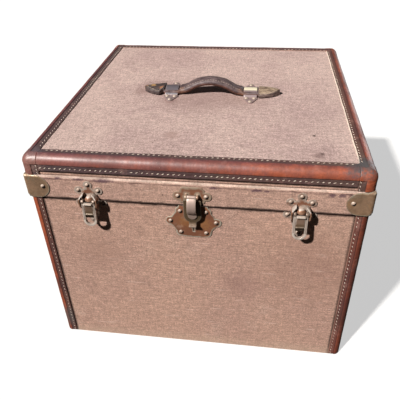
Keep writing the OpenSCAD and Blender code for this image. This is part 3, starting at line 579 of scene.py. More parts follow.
# %% Inside finishes
STRIPE = 22 * MM
look = Finish("lining_paper", 0.85, 0.2)
age = look.group(age_tree, Size=6.0, Seed=9.0)
across = look.parts(look.group(flat_tree)["Flat"])[0]
wave, thin = (across * (2 * math.pi / STRIPE)).sine(), (across * (6 * math.pi / STRIPE)).sine()
look.colour = look.blend(wave.ramp(0.55, 0.62) * 0.6, (206, 190, 160), (150, 120, 98))
look.lay(thin.ramp(0.9, 0.94) * wave.ramp(0.2, -0.2) * 0.6, (120, 80, 66))
look.lay(age["Blotch"] * 0.4, (170, 140, 104))
look.lay(age["Speck"] * 0.7, (104, 72, 48))
look.bump(look.noise(age["Grime"], 30.0), 0.2 * MM, 0.3)
lining = look.done()

look = Finish("poplar_board", 0.7, 0.3)
rings = look.noise(look.scaled(look.place, 6.0, 6.0, 90.0), 3.0, 6.0, 0.6)
look.colour = look.blend(rings.ramp(0.35, 0.7), (196, 158, 112), (146, 104, 66))
look.bump(rings, 0.3 * MM, 0.4)
wood = look.done()

# %% [markdown]
# ## Metal
# Old brass and copper-washed steel: a brown skin in the middle of each plate, bare grey-green metal where hands
# and edges rub, and dark dirt in pits. The value "rim" tells how far a point is from an edge, so wear follows it.

# %% Plain metals
def metal(name, skin, bare, dark, rough=0.42, rim=2.2 * MM, wear=1.0, size=18.0, metallic=0.3):
    """Skin with dark blotches and specks, bare where the distance from an edge is under rim and in pale patches."""
    look = Finish(name, rough, metallic=metallic)
    age = look.group(age_tree, Size=size, Seed=float(len(name)))
    fine = look.noise(look.place, 420.0, 4.0, 0.6)
    uneven = look.noise(look.place, 140.0, 5.0, 0.65) * (2.6 * rim) - 1.3 * rim
    near = (look.carried("rim") + uneven).ramp(rim, 0.25 * rim)
    near = near * look.noise(look.place, 60.0, 4.0, 0.6).ramp(0.3, 0.52, 0.25, 1.0)
    look.colour = look.blend(age["Blotch"] * 0.6, skin, dark)
    look.lay(near * wear, bare)
    look.lay(age["Pale"] * 0.35, bare)
    look.lay(age["Speck"] * 0.8, dark)
    look.shade(Roughness=fine.ramp(0.3, 0.75, rough - 0.06, rough + 0.22))
    look.bump(fine + age["Pale"], 0.12 * MM, 0.5)
    return look


plate_metal = metal("plate_copper", (156, 106, 80), (164, 144, 126), (104, 70, 56), rim=5.0 * MM).done()
iron = metal("dark_iron", (84, 76, 70), (140, 132, 124), (50, 42, 38), rough=0.5, wear=0.0).done()

# %% [markdown]
# The corners' brass is olive brown with golden patches, and its rim has gone greenish grey. Rivets carry a
# painted highlight on the side that the key lamp comes from and painted shade on the far side, and dirt has
# gathered in the ring where the head meets the plate. A value at each point runs from -1 on the lit side to 1 on
# the shaded side, and "foot" is 1 in that ring.

# %% Brass corners and rivets
look = metal("brass_corner", (152, 122, 98), (152, 143, 127), (116, 94, 74), rim=1.8 * MM, wear=0.8, size=30.0)
look.lay(look.noise(look.place, 46.0, 7.0, 0.66).ramp(0.5, 0.66) * 0.5, (152, 112, 66))
look.lay(look.noise(look.place, 70.0, 7.0, 0.7).ramp(0.58, 0.68) * 0.5, (122, 130, 114))
look.vary(look.noise(look.place, 340.0, 5.0, 0.7).ramp(0.32, 0.68), 0.86, 1.14)
corner_brass = look.done()

look = metal("rivet_brass", (172, 150, 136), (206, 190, 178), (124, 98, 84), rough=0.5, wear=0.0)
lee = look.carried("lee") + look.noise(look.place, 500.0, 3.0) * 0.3 - 0.15
# Painted highlight on the side that faces the key lamp.
look.lay(lee.ramp(-0.4, -0.8) * 0.45, (206, 194, 180))
# Painted shade on the side turned away from the key lamp.
look.lay(lee.ramp(-0.2, 0.14) * 0.96, (24, 16, 13))
look.lay(look.carried("foot") * 0.5, (60, 42, 34))
rivet_metal = look.done()

# %% [markdown]
# The latches: the copper plate has wide bare lobes, and its nose and cheeks stand out from it, pale above and
# copper brown below. The link is dull and darker olive towards its hook, near black at its lower end as painted
# shade, and its top bar carries a painted highlight. The ring is pale steel with painted shade on its top, where it
# tucks under the cheeks.

# %% Latch finishes
LATCH_MIDDLE, NOSE_Y = RIM + 7.0 * MM, -246.0 * MM
look = metal("latch_copper", (156, 106, 80), (178, 162, 150), (98, 66, 54), rim=5.0 * MM)
x, y, z = look.parts(look.place)
# Nose and cheeks: pale above, copper brown below.
pale_above_brown_below = look.blend(z.ramp(LATCH_MIDDLE, LATCH_MIDDLE + 1.8 * MM), (136, 96, 72), (198, 186, 176))
look.lay(y.ramp(NOSE_Y + 1.6 * MM, NOSE_Y) * 0.85, pale_above_brown_below)
latch_metal = look.done()

link_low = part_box("latch_link_left")[0].z
look = metal("link_steel", (150, 122, 104), (214, 196, 184), (84, 66, 52), rim=0.9 * MM, metallic=0.45)
height = look.parts(look.place)[2] - link_low
look.lay(height.ramp(15 * MM, 8 * MM) * 0.7, (92, 74, 48))
# Painted shade: near black at the link's lower end.
look.lay(height.ramp(7.5 * MM, 5.5 * MM) * 0.9, (40, 31, 22))
# Painted highlight along the link's top bar.
look.lay(height.ramp(24.0 * MM, 24.6 * MM) * 0.8, (220, 208, 196))
link_metal = look.done()

ring_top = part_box("latch_lever_left")[1].z
look = metal("ring_steel", (186, 168, 156), (222, 208, 196), (120, 100, 88), rough=0.36, rim=1.0 * MM, metallic=0.45)
# Painted shade on the ring's top, where it tucks under the cheeks.
look.lay(look.parts(look.place)[2].ramp(ring_top - 9 * MM, ring_top - 3 * MM) * 0.85, (118, 96, 82))
ring_metal = look.done()

# %% [markdown]
# The hasp's arched strap is rubbed pale, the shield behind it has stayed olive brown: they part by their depth. A
# painted highlight runs along the lip at the hasp's foot.
# The lock's plate has gone golden where the shield rubs beside the keyhole: x, z and reach of each patch are in
# millimetres. The lock's case is an iron box in a pocket of the front board. Its front lies flush with the canvas,
# which is glued over its edge, so what shows beside the plate is cloth.

# %% Hasp and lock finishes
HASP_LIP, STRAP_Y, PLATE_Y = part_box("hasp")[0].z + 6 * MM, -247.0 * MM, -239
look = Finish("hasp_metal", 0.46, metallic=0.3)
age = look.group(age_tree, Size=20.0, Seed=6.0)
x, y, z = look.parts(look.place)
look.colour = look.blend(y.ramp(STRAP_Y + 1 * MM, STRAP_Y), (92, 76, 56), (166, 144, 134))
# Painted highlight along the lip at the hasp's foot.
look.lay(z.ramp(HASP_LIP, HASP_LIP - 1.5 * MM) * 0.5, (176, 152, 132))
look.lay(look.carried("rim").ramp(1.3 * MM, 0.2 * MM) * 0.35, (190, 176, 160))
look.lay(age["Blotch"] * 0.45, (86, 68, 54))
look.bump(look.noise(age["Pale"], 200.0), 0.1 * MM, 0.4)
hasp_metal = look.done()

look = metal("lock_copper", (156, 104, 78), (178, 170, 154), (108, 68, 52), rim=2.4 * MM)
for x, z, reach, tint in ((-13, 273, 11, (166, 116, 62)), (15, 270, 12, (176, 126, 72)),
                          (-20, 262, 4, (186, 150, 130)), (24, 284, 7, (104, 62, 50))):
    look.mark((x, PLATE_Y, z), reach, tint, 0.4, 1.6)
lock_metal = look.done()

look = metal("lock_case_iron", (84, 76, 70), (140, 132, 124), (50, 42, 38), rough=0.6, wear=0.0, metallic=0.1)
cloth = look.tinted(srgb(182, 146, 130), look.noise(look.place, 420.0, 4.0), 0.5, 1.4)
look.lay(look.parts(look.place)[1].ramp(-HALF + 0.4 * MM, -HALF + 0.1 * MM), cloth)
lock_case_metal = look.done()

# %% [markdown]
# The handle's loops: the strap over the handle has stayed blue grey, the riveted tongues lie bare and pinkish. The
# right strap is polished to a pale cream on the crown's back half.

# %% Loop finish
loop_middle = sum(corner.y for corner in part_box("handle_loop_right")) / 2
look = metal("loop_metal", (98, 92, 98), (170, 152, 148), (62, 54, 60), rough=0.45, rim=1.2 * MM, wear=0.5,
             metallic=0.15)
x, y, z = look.parts(look.place)
low, right = z.ramp(LID_TOP + 3.2 * MM, LID_TOP + 2.0 * MM), x.ramp(0.0, 10 * MM)
look.lay(low * 0.7, (150, 130, 128))
look.lay(right * 0.5, (150, 126, 124))
crown = right * y.ramp(loop_middle - 8 * MM, loop_middle - 5 * MM) * (1 - low)
look.lay(crown * 0.92, (234, 224, 196))
loop_metal = look.done()
print(len(bpy.data.materials), "finishes")

# %% [markdown]
# A stamped plate has slightly rounded edges that catch the light. A copy of each solid is merged at its shared
# points, its sharp edges are rounded by a third of a millimetre, and every point gets its distance to the nearest
# of those edges. The copy then stands for the solid.

# %% Worn copies of the metal solids
ROUND_BY, LONGEST_EDGE = 0.3 * MM, 3.2 * MM
FLAT, SHARP, SMOOTH = map(math.radians, (0.5, 35, 32))


def merged_copy(node):
    """The solid's mesh, its points that share a place made one."""
    shape = bmesh.new()
    shape.from_mesh(frame["nodes"][node].data)
    bmesh.ops.remove_doubles(shape, verts=shape.verts, dist=1e-6)
    return shape


def worn_copy(node, slot, material):
    """Copy of a solid: bends over 35 degrees are rounded, long edges halved, and each point carries its rim."""
    shape = merged_copy(node)
    bmesh.ops.dissolve_limit(shape, angle_limit=FLAT, verts=shape.verts, edges=shape.edges, delimit={"NORMAL"})
    sharp = [e for e in shape.edges if len(e.link_faces) == 2 and e.calc_face_angle() > SHARP]
    ends = np.array([[*e.verts[0].co, *e.verts[1].co] for e in sharp]).reshape(-1, 2, 3)
    bmesh.ops.bevel(shape, geom=sharp, offset=ROUND_BY, segments=2, profile=0.5, affect="EDGES", clamp_overlap=True)
    bmesh.ops.triangulate(shape, faces=shape.faces)
    for _ in range(5):
        long = [e for e in shape.edges if e.calc_length() > LONGEST_EDGE]
        if not long:
            break
        bmesh.ops.subdivide_edges(shape, edges=long, cuts=1)
        bmesh.ops.triangulate(shape, faces=[f for f in shape.faces if len(f.verts) > 3])
    for face in shape.faces:
        face.smooth = True
    mesh = bpy.data.meshes.new(node + "_worn")
    shape.to_mesh(mesh)
    shape.free()
    carry(mesh, "rim", edge_distance(np.array([v.co[:] for v in mesh.vertices]), ends))
    mesh.set_sharp_from_angle(angle=SMOOTH)
    print(node, len(mesh.polygons), "faces")
    dress(put(node + "_worn", mesh), BODY[node], slot, material, node)


def edge_distance(points, ends, chunk=400):
    """Distance of each point from the nearest of the straight edges, worked out for a few edges at a time."""
    best = np.full(len(points), 1.0)
    for start in range(0, len(ends), chunk):
        a, b = ends[start:start + chunk, 0], ends[start:start + chunk, 1]
        line = b - a
        t = np.einsum("pec,ec->pe", points[:, None] - a, line) / np.maximum((line**2).sum(1), 1e-18)
        foot = a + np.clip(t, 0, 1)[..., None] * line
        best = np.minimum(best, np.linalg.norm(points[:, None] - foot, axis=2).min(1))
    return best


LATCH_LOOK = {"plate": ("plate_metal", latch_metal), "catch": ("plate_metal", latch_metal),
              "link": ("plate_metal", link_metal), "lever": ("ring_metal", ring_metal)}
METAL_LOOK = [(f"latch_{part}_{side}", *look) for side in ("left", "right") for part, look in LATCH_LOOK.items()]
METAL_LOOK += [("lock_plate", "plate_metal", lock_metal), ("hasp_plate", "plate_metal", plate_metal),
               ("hasp", "plate_metal", hasp_metal), ("hasp_pin", "iron", iron), ("latch_pivots", "iron", iron)]
METAL_LOOK += [(f"brass_corner_{corner}", "corner_brass", corner_brass) for corner in CORNERS]
METAL_LOOK += [(f"handle_loop_{side}", "iron", loop_metal) for side in ("left", "right")]
for entry in METAL_LOOK:
    worn_copy(*entry)

# %% [markdown]
# ## Rivets
# Each head is the cap of a ball, pressed by hand, so its round is never quite even. The head's own radius a and
# height h give the ball's radius, (a^2 + h^2) / 2h, and at the distance r from the axis the cap stands
# sqrt(R^2 - r^2) - (R - h) high. The places are those of the solid's own lumps. Fine rings of points keep the
# highlight on so small a head round, which the solid's coarse mesh can't.

# %% Rivet heads
RIVET_POINTS, RIVET_RINGS = 28, 8


def lumps(node):
    """Middle and size of every separate lump of a solid's mesh."""
    shape = merged_copy(node)
    seen, found = set(), []
    for start in shape.verts:
        if start in seen:
            continue
        seen.add(start)
        waiting, lump = [start], []
        while waiting:
            here = waiting.pop()
            lump.append(here.co[:])
            fresh = {edge.other_vert(here) for edge in here.link_edges} - seen
            seen |= fresh
            waiting += fresh
        low, high = np.min(lump, 0), np.max(lump, 0)
        found.append(((low + high) / 2, high - low))
    shape.free()
    return found


def rivet_heads(node, name):
    """One piece of caps, one for each lump of the solid, looking out along the lump's thinnest way. The rings lie at
    a times the sine of even angles and stand sqrt(R^2 - r^2) - (R - h) high, less a dent of up to a tenth."""
    rng = np.random.default_rng(len(node))
    angle = np.arange(RIVET_POINTS) * 2 * np.pi / RIVET_POINTS
    share = np.sin(np.linspace(0, np.pi / 2, RIVET_RINGS + 1))[1:, None]
    points, lees = [], []
    for middle, size in lumps(node):
        axis = int(np.argmin(size))
        out = np.zeros(3)
        out[axis] = 1.0 if axis == 2 else np.sign(middle[axis])
        up = np.array([0.0, 1.0, 0.0]) if axis == 2 else np.array([0.0, 0.0, 1.0])
        right = np.cross(up, out)
        half, tall = size.max() / 2, size[axis]
        ball = (half**2 + tall**2) / (2 * tall)
        dent = 0.05 * (1 + np.cos(angle * rng.integers(1, 4) + rng.uniform(0, 6)))
        r = half * share
        high = (np.sqrt(ball**2 - r**2) - (ball - tall)) * (1 - dent * np.sin(np.pi * share))
        across, along = r * np.cos(angle), r * np.sin(angle)
        foot = middle - out * tall / 2
        cap = foot + across[..., None] * right + along[..., None] * up + high[..., None] * out
        points.append(np.concatenate([cap.reshape(-1, 3), [foot + out * tall, foot]]))
        # From -1 towards the key lamp's side to 1 on the far side, for the painted highlight and shade; heads facing
        # up take a painted highlight.
        lee = (0.6 * across - 0.8 * along) / half if axis != 2 else -0.7 + 0 * across
        lees.append(np.append(lee.ravel(), [0, 0]))
    feet = np.append(np.repeat(rise(share[:, 0], 0.86, 1.0), RIVET_POINTS), [0, 1])
    pairs = [(k, (k + 1) % RIVET_POINTS) for k in range(RIVET_POINTS)]
    last, top = (RIVET_RINGS - 1) * RIVET_POINTS, RIVET_RINGS * RIVET_POINTS
    one = grid_faces(RIVET_RINGS, RIVET_POINTS, close_cols=True).tolist()
    one += [[top, a, b] for a, b in pairs] + [[top + 1, last + b, last + a] for a, b in pairs]
    print(name, len(points), "heads")
    piece = make_piece(name, np.concatenate(points), repeated(one, len(points)), lee=np.concatenate(lees),
                       foot=np.tile(feet, len(points)))
    dress(piece, BODY[node], "iron", rivet_metal, node)


rivet_heads("base_rivets", "rivet_heads_base")
rivet_heads("lid_rivets", "rivet_heads_lid")

# %% [markdown]
# ## Leather binding
# All edges are bound with a strip of waxed leather over a cord, stitched along both borders. The padded middle is
# glossy and reddish, the stitched borders are thinner and have gone grey. Along the lid the strip bends over the
# top edge. Its place on the canvas is found from s, the way walked from where the flat top ends, outwards and
# down: first flat, then a quarter circle, then straight down.

# %% Where the lid's edge runs
TOP_START, TOP_BEAD = -8.8 * MM, 0.2 * MM
LOW_BEAD, LOW_END = 18.68 * MM, 28.68 * MM
FLANGE_T, BEAD_T, BELLY = 1.6 * MM, 2.6 * MM, 0.35 * MM
STITCH_PITCH = 7.3 * MM
S_ROWS = (-5.3 * MM, 23.5 * MM)
UNDER = -0.15 * MM


def lid_edge(s):
    """Distance outside the canvas face, height, and the outward and upward parts of the normal at s."""
    bend = np.clip(s / EDGE_R, 0, np.pi / 2)
    out = -EDGE_R + np.minimum(s, 0) + EDGE_R * np.sin(bend)
    up = LID_TOP - EDGE_R * (1 - np.cos(bend)) - np.maximum(s - EDGE_R * np.pi / 2, 0)
    return out, up, np.sin(bend), np.cos(bend)


def rolled(distance, radius):
    """Rounded border: height of a quarter circle, 0 at the border and 1 from the radius on."""
    return np.sqrt(np.clip(1 - (1 - np.clip(distance / radius, 0, 1)) ** 2, 0, 1))


def lid_bead(s):
    """1 on the padded middle and 0 on the borders: a smooth step up from the top border and one down again."""
    return rise(s, TOP_BEAD - 0.3 * MM, TOP_BEAD + 1.5 * MM) * (1 - rise(s, LOW_BEAD - 1.5 * MM, LOW_BEAD + 0.3 * MM))


def belly(s):
    """Half a sine wave over the padded middle."""
    return BELLY * np.clip(np.sin(np.pi * (s - TOP_BEAD) / (LOW_BEAD - TOP_BEAD)), 0, 1)


def thickness(bead, bead_t, groove):
    """Flange plus bead, less the groove beside the bead, which is deepest where the bead is half as high."""
    return FLANGE_T + (bead_t - FLANGE_T) * bead - groove * 4 * bead * (1 - bead)


def folded(outer, inner):
    """Rows that go across the outer skin and come back along the inner one."""
    return np.concatenate([outer, inner[:, ::-1]], axis=1)


def sheet(name, turns, face, normal, thick, rounding, **values):
    """Leather on a face of the trunk. face is x, y and z of its points, normal is the way out of them. The outer
    skin stands that thick over the face, less where the rounding is below 1, the inner skin just under it."""
    outer = UNDER + (thick - UNDER) * rounding
    skins = [quarter_turn(*(p + n * t for p, n in zip(face, normal)), turns) for t in (outer, UNDER)]
    sections = folded(*skins)
    values = {key: folded(*[np.broadcast_to(value, thick.shape)] * 2) for key, value in values.items()}
    return make_piece(name, sections, swept(sections), **values)


print("the strip is", round((LOW_END - TOP_START) * 1000, 1), "mm wide")

# %% [markdown]
# One side of the lid is built as a grid: stations along the edge, points across it on the outer skin and back on
# the inner skin. A channel runs along each stitch row and dips at every stitch, and slow waves of hand work run
# over all. The trunk is square, so the other three sides are the same grid, turned, with other waves.

# %% Binding along the lid's edges
CAP_REACH = 217 * MM
CROSS_S = np.concatenate([
    np.linspace(TOP_START, TOP_BEAD - 0.6 * MM, 15), np.linspace(TOP_BEAD - 0.3 * MM, TOP_BEAD + 2.2 * MM, 8),
    np.linspace(TOP_BEAD + 3 * MM, LOW_BEAD - 3 * MM, 16), np.linspace(LOW_BEAD - 2.2 * MM, LOW_BEAD + 0.3 * MM, 8),
    np.linspace(LOW_BEAD + 0.6 * MM, LOW_END, 17)])
EDGE_TONES, HIGH_WIDTHS, CUT_SIDE = (0.15, 0.95, 0.5, 0.15), (8, 4, 6, 8), 1


def edge_strip(number):
    """Strip along one side, at u along it and s across it: the canvas's point plus its normal times the thickness.
    That is flange, bead and belly, less a bell curve across each stitch row that a cosine along u deepens at the
    stitches, plus slow waves."""
    u, s = np.meshgrid(np.linspace(-CAP_REACH, CAP_REACH, 421), CROSS_S, indexing="ij")
    bead = lid_bead(s)
    thick = thickness(bead, BEAD_T, 0.5 * MM) + 0.10 * MM * ripple(u, 10 + number, 0.09) * (0.4 + bead)
    for row in S_ROWS:
        thick = thick - bump_at(s, row, 1.6 * MM) * (0.28 + 0.16 * np.cos(2 * np.pi * u / STITCH_PITCH)) * MM
    thick = thick + 0.10 * MM * ripple(u * 1.7 + s * 3.0, 15 + number, 0.03, 4) * (1 - bead) + belly(s)
    border = np.minimum(s - TOP_START, LOW_END - s)
    wave = 0.35 * MM * ripple(u, 30 + number, 0.12)
    out, up, n_out, n_up = lid_edge(s + wave * (1 - bead))
    tone = EDGE_TONES[number] + (number == 0) * 0.5 * rise(u, -0.15, 0.2)
    high = 1 - rise(s, 1.5 * MM, HIGH_WIDTHS[number] * MM)
    cut = (number == CUT_SIDE) * (1 - rise(s - TOP_START, 0.5 * MM, 1.1 * MM))
    return sheet(f"binding_{SIDES[number]}", number, (u, -(HALF + out), up), (0 * u, -n_out, n_up), thick,
                 0.12 + 0.88 * rolled(border, 1.0 * MM), bead=bead, border=border, tone=tone, high=high, cut=cut)


# %% [markdown]
# A cap closes each upper corner of the lid. It is a wider piece, folded round the upright corner and down to the
# ledge. In plan it follows a rounded square: at a distance d inside the canvas face the corner's radius is 9 mm
# less d. A bead runs over it both ways, along the top edge and down the corner.

# %% Corner caps
CAP_LOW_S = LID_TOP - EDGE_R + EDGE_R * np.pi / 2 - (BAND_TOP + 0.3 * MM)
CAP_EXTRA, CAP_STITCH_A = 0.45 * MM, 16.8 * MM
CAP_TONES = (1.0, 0.7, 0.3, 0.0)


def corner_path(inset, share, start):
    """Point and plan normal on the path round the front right corner. share runs 0..1 on the front straight,
    1..2 round the corner's arc and 2..3 on the right straight, from and to the plane at start."""
    radius = np.maximum(UPRIGHT_R - inset, 1.2 * MM)
    centre = HALF - inset - radius
    turned = np.clip(share - 1, 0, 1) * np.pi / 2
    x = centre + radius * np.sin(turned) - (1 - np.clip(share, 0, 1)) * (centre - start)
    y = np.clip(share - 2, 0, 1) * (centre - start) - (centre + radius * np.cos(turned))
    return x, y, np.sin(turned), -np.cos(turned)


def walked(share, start):
    """Way walked round the corner on the canvas face, 0 at the middle of the arc."""
    straight, arc = HALF - UPRIGHT_R - start, UPRIGHT_R * np.pi / 2
    first, round_arc, last = (np.clip(share - k, 0, 1) for k in range(3))
    return (first - 1 + last) * straight + (round_arc - 0.5) * arc


def round_shares(straight, arc):
    """Even shares of the corner's path: so many on each straight and so many on the arc."""
    return np.concatenate([np.linspace(0, 1, straight)[:-1], np.linspace(1, 2, arc), np.linspace(2, 3, straight)[1:]])


def corner_cap(number):
    """Cap on a corner: the lid's section at s, carried round the corner's path. A second bead stands where the way
    a from the corner's middle is under 11 mm, raised by 1 - (a / 11 mm)^2, and a channel runs down each seam."""
    start = CAP_REACH - 0.4 * MM
    more = np.linspace(LOW_END + 0.5 * MM, CAP_LOW_S, 12)
    share, s = np.meshgrid(round_shares(23, 19), np.concatenate([CROSS_S, more]), indexing="ij")
    a = walked(share, start)
    upright = (1 - rise(np.abs(a), 9.4 * MM, 11.0 * MM)) * rise(s, 8 * MM, 12 * MM)
    bead = np.maximum(lid_bead(s), upright)
    full = belly(s) + 0.4 * MM * (1 - np.clip(np.abs(a) / (11 * MM), 0, 1) ** 2) * rise(s, 8 * MM, 12 * MM)
    thick = thickness(bead, BEAD_T, 0.45 * MM) + CAP_EXTRA + np.minimum(full, 0.6 * MM) * bead
    thick = thick + 0.12 * MM * ripple(a + 2 * s, 50 + number, 0.03)
    for line in (-CAP_STITCH_A, CAP_STITCH_A):
        thick = thick - 0.3 * MM * bump_at(a, line, 1.2 * MM) * rise(s, 18 * MM, 21 * MM)
    border = np.minimum.reduce([s - s.min(), s.max() - s, np.abs(a).max() - np.abs(a)])
    out, up, n_out, n_up = lid_edge(s)
    x, y, nx, ny = corner_path(-out, share, start)
    return sheet(f"cap_{NEXT_CORNER[number]}", number, (x, y, up), (nx * n_out, ny * n_out, n_up), thick,
                 0.1 + 0.9 * rolled(border, 1.0 * MM), bead=bead, border=border, tone=CAP_TONES[number])


# %% [markdown]
# The base's corners carry the same strip, folded round the upright edge from the floor to the rim.

# %% Strips down the base's corners
POST_T, POST_START = 2.3 * MM, 221.9 * MM
POST_LOW, POST_STITCH_A = 1.0 * MM, 10.9 * MM
POST_TONES, POST_DULL = (0.7, 0.6, 0.5, 0.75), (0.75, 0.4, 0.3, 0.2)


def corner_post(number):
    """Strip down a corner: at each height z the same section goes round the corner's path, flange plus a bead that is
    raised by 1 - (a / 7 mm)^2, less the stitch rows' channels. Its bead sways a little with z."""
    z, share = np.meshgrid(np.linspace(POST_LOW, RIM - 0.4 * MM, 221), round_shares(17, 21), indexing="ij")
    sway = 0.5 * MM * ripple(z, 70 + number, 0.2)
    a = walked(share, POST_START)
    bead = 1 - rise(np.abs(a + sway * 0.5), 5.8 * MM, 7.2 * MM)
    thick = thickness(bead, POST_T, 0.4 * MM)
    thick = thick + 0.35 * MM * bead * (1 - np.clip(np.abs(a) / (7 * MM), 0, 1) ** 2)
    thick = thick + 0.1 * MM * ripple(z + a, 80 + number, 0.05)
    for line in (-POST_STITCH_A, POST_STITCH_A):
        thick = thick - bump_at(a, line, 1.2 * MM) * (0.26 + 0.15 * np.cos(2 * np.pi * z / STITCH_PITCH)) * MM
    border = np.abs(a).max() - np.abs(a)
    ends = np.minimum(z - z.min(), z.max() - z)
    rounding = (0.12 + 0.88 * rolled(border, 0.9 * MM)) * (0.3 + 0.7 * rolled(ends, 0.8 * MM))
    x, y, nx, ny = corner_path(0 * a, share, POST_START)
    return sheet(f"post_{NEXT_CORNER[number]}", number, (x, y, z), (nx, ny, 0 * z), thick, rounding, bead=bead,
                 border=border, tone=POST_TONES[number], dull=POST_DULL[number])


# %% [markdown]
# The leather's colour follows values that the surfaces carry: "bead" is 1 on the padded middle, "border" is the
# distance from the cut edge, and "tone" goes from brown purple on the left of the trunk to orange red on the
# right, where more of the dye is left. "dull" greys the corner strips, "high" darkens the bead's upper side, and
# "cut" shows the pale cut edge on the lid's right side.

# %% Leather finish
LEATHER_MARKS = (
    ((226, -222, 372), 20, (74, 76, 78), 0.8), ((210, -232, 371), 12, (78, 70, 72), 0.7),
    ((241, -228, 350), 8, (120, 66, 44), 0.6), ((-226, -226, 372), 16, (92, 80, 86), 0.6),
    ((-228, -240, 358), 17, (140, 108, 98), 0.5), ((60, -236, 364), 12, (92, 60, 62), 0.4),
    ((-232, -239, 40), 26, (84, 78, 76), 0.75), ((-232, -239, 120), 14, (72, 46, 42), 0.6),
    ((236, -238, 90), 20, (72, 44, 38), 0.5), ((238, 60, 366), 18, (90, 56, 44), 0.5),
)
look = Finish("waxed_leather", 0.4)
look.shade(Coat_Weight=0.22, Coat_Roughness=0.38)
age = look.group(age_tree, Size=16.0, Seed=2.0)
bead, border, tone, dull, high, cut = map(look.carried, ("bead", "border", "tone", "dull", "high", "cut"))
grain = look.add("TexVoronoi", "Distance", Vector=look.place, Scale=900.0)
crease = look.noise(look.place, 60.0, 6.0, 0.65)
uneven = tone + (crease * 1.2 - 0.6)
dyed = look.blend(uneven.ramp(0.1, 0.9), (124, 74, 68), (162, 82, 52))
aged = look.blend(uneven.ramp(0.0, 1.0), (76, 60, 62), (92, 62, 54))
aged = look.blend(age["Grime"] * 0.35, aged, (98, 92, 82))
look.colour = look.blend(bead, look.blend(dull, aged, (112, 64, 54)), dyed)
look.lay(bead * high * crease.ramp(0.36, 0.56, 0.25, 1.0) * 0.75, (82, 58, 68))
look.lay(dull * bead * crease.ramp(0.3, 0.62, 0.5, 1.0), (94, 52, 44))
look.lay(age["Blotch"] * 0.5, (66, 36, 38))
look.lay(age["Pale"] * (bead * -0.05 + 0.3), (186, 140, 128))
look.lay(border.ramp(0.9 * MM, 0.2 * MM) * 0.6, (150, 116, 100))
look.lay(age["Speck"] * 0.85, (206, 176, 160))
look.lay(bead * (1 - bead) * 3.2, (40, 22, 22))
look.lay(cut, (226, 212, 196))
for mark in LEATHER_MARKS:
    look.mark(*mark, 1.1)
look.vary(look.noise(look.place, 300.0, 5.0, 0.7).ramp(0.32, 0.68), 0.84, 1.16)
look.shade(Roughness=bead * -0.18 + 0.62 + age["Blotch"] * 0.15)
look.bump(grain * 0.35 + crease, 0.35 * MM, 0.45)
leather = look.done()

for number, (side, corner) in enumerate(zip(SIDES, NEXT_CORNER)):
    dress(edge_strip(number), "lid", "binding", leather, f"edge_leather_{side}")
    dress(corner_cap(number), "lid", "binding", leather, f"cap_leather_{corner}")
    dress(corner_post(number), "base", "binding", leather, f"post_leather_{corner}")

# %% [markdown]
# ## Stitches
# Each stitch is a short slanted stroke of waxed thread that sinks into the leather at both ends. They are all the
# same small spindle of six rings of six points, so one array of places and directions makes a whole row, and all
# the rows of one body are one piece.

# %% Stitches
SPINDLE = np.array([(-1.0, 0.15), (-0.8, 0.75), (-0.3, 1.0), (0.3, 1.0), (0.8, 0.75), (1.0, 0.15)])
SPINDLE_SIDES = 6
STITCH_LENGTH, STITCH_WIDTH = 3.8 * MM, 1.05 * MM


def spindles(name, places, ways, ups, length, width):
    """Spindle at each place: rings of six points along the way, flattened towards the leather, which they sink into
    with the square of their distance from the middle."""
    angle = np.arange(SPINDLE_SIDES) * 2 * np.pi / SPINDLE_SIDES
    ways = ways / np.linalg.norm(ways, axis=1, keepdims=True)
    ring = np.cos(angle)[:, None, None] * np.cross(ups, ways) + 0.75 * np.sin(angle)[:, None, None] * ups
    along = SPINDLE[:, 0][:, None, None] * ways * (length / 2)[None, :, None]
    arch = -0.28 * (SPINDLE[:, 0] ** 2)[:, None, None] * ups * width
    thick = SPINDLE[:, 1][:, None, None, None] * ring[None] * (width / 2)
    points = (places + along[:, None] + arch[:, None] + thick).transpose(2, 0, 1, 3)
    print(name, len(places), "stitches")
    return make_piece(name, points, repeated(swept(points[0]), len(places)))


def stitch_row(ways_along, line, seed):
    """Places, slanted directions and ups at the given ways along a seam. line gives point, direction and up."""
    rng = np.random.default_rng(seed)
    point, way, up = line(ways_along + rng.normal(0, 0.18 * MM, len(ways_along)))
    slant = np.radians(rng.normal(24, 5, len(point)))[:, None]
    side = np.cross(up, way)
    keep = rng.random(len(point)) > 0.03
    return point[keep], (way * np.cos(slant) + side * np.sin(slant))[keep], up[keep]


def lid_seam(number, s_row):
    """Seam along one side of the lid, at s on the strip."""
    def line(u):
        out, up, n_out, n_up = lid_edge(np.full_like(u, s_row))
        t, none = FLANGE_T - 0.05 * MM, 0 * u
        point = [u, -(HALF + out + n_out * t), up + n_up * t]
        return [quarter_turn(*v, number) for v in (point, [none + 1, none, none], [none, -n_out, n_up])]
    return line


def upright_seam(number, sign, stitch_a, t):
    """Seam beside an upright corner, stitch_a from its middle and t over the canvas. The sign is -1 on the side
    before the corner and 1 on the side after it."""
    def line(z):
        none, one = 0 * z, 0 * z + 1
        x, face = (HALF - UPRIGHT_R + UPRIGHT_R * np.pi / 4 - stitch_a) * one, (HALF + t) * one
        point, normal = ([face, -x, z], [one, none, none]) if sign > 0 else ([x, -face, z], [none, -one, none])
        return [quarter_turn(*v, number) for v in (point, [none, none, one], normal)]
    return line


def stitches(name, body, rows):
    """All the seams of one body as one piece. A row has the ways of its stitches and its seam."""
    parts = [stitch_row(ways, seam, 200 + k) for k, (ways, seam) in enumerate(rows)]
    places, ways, ups = (np.concatenate(v) for v in zip(*parts))
    lengths = STITCH_LENGTH * np.random.default_rng(len(name)).normal(1, 0.08, len(places))
    dress(spindles(name, places, ways, ups, lengths, STITCH_WIDTH), body, "binding", thread)


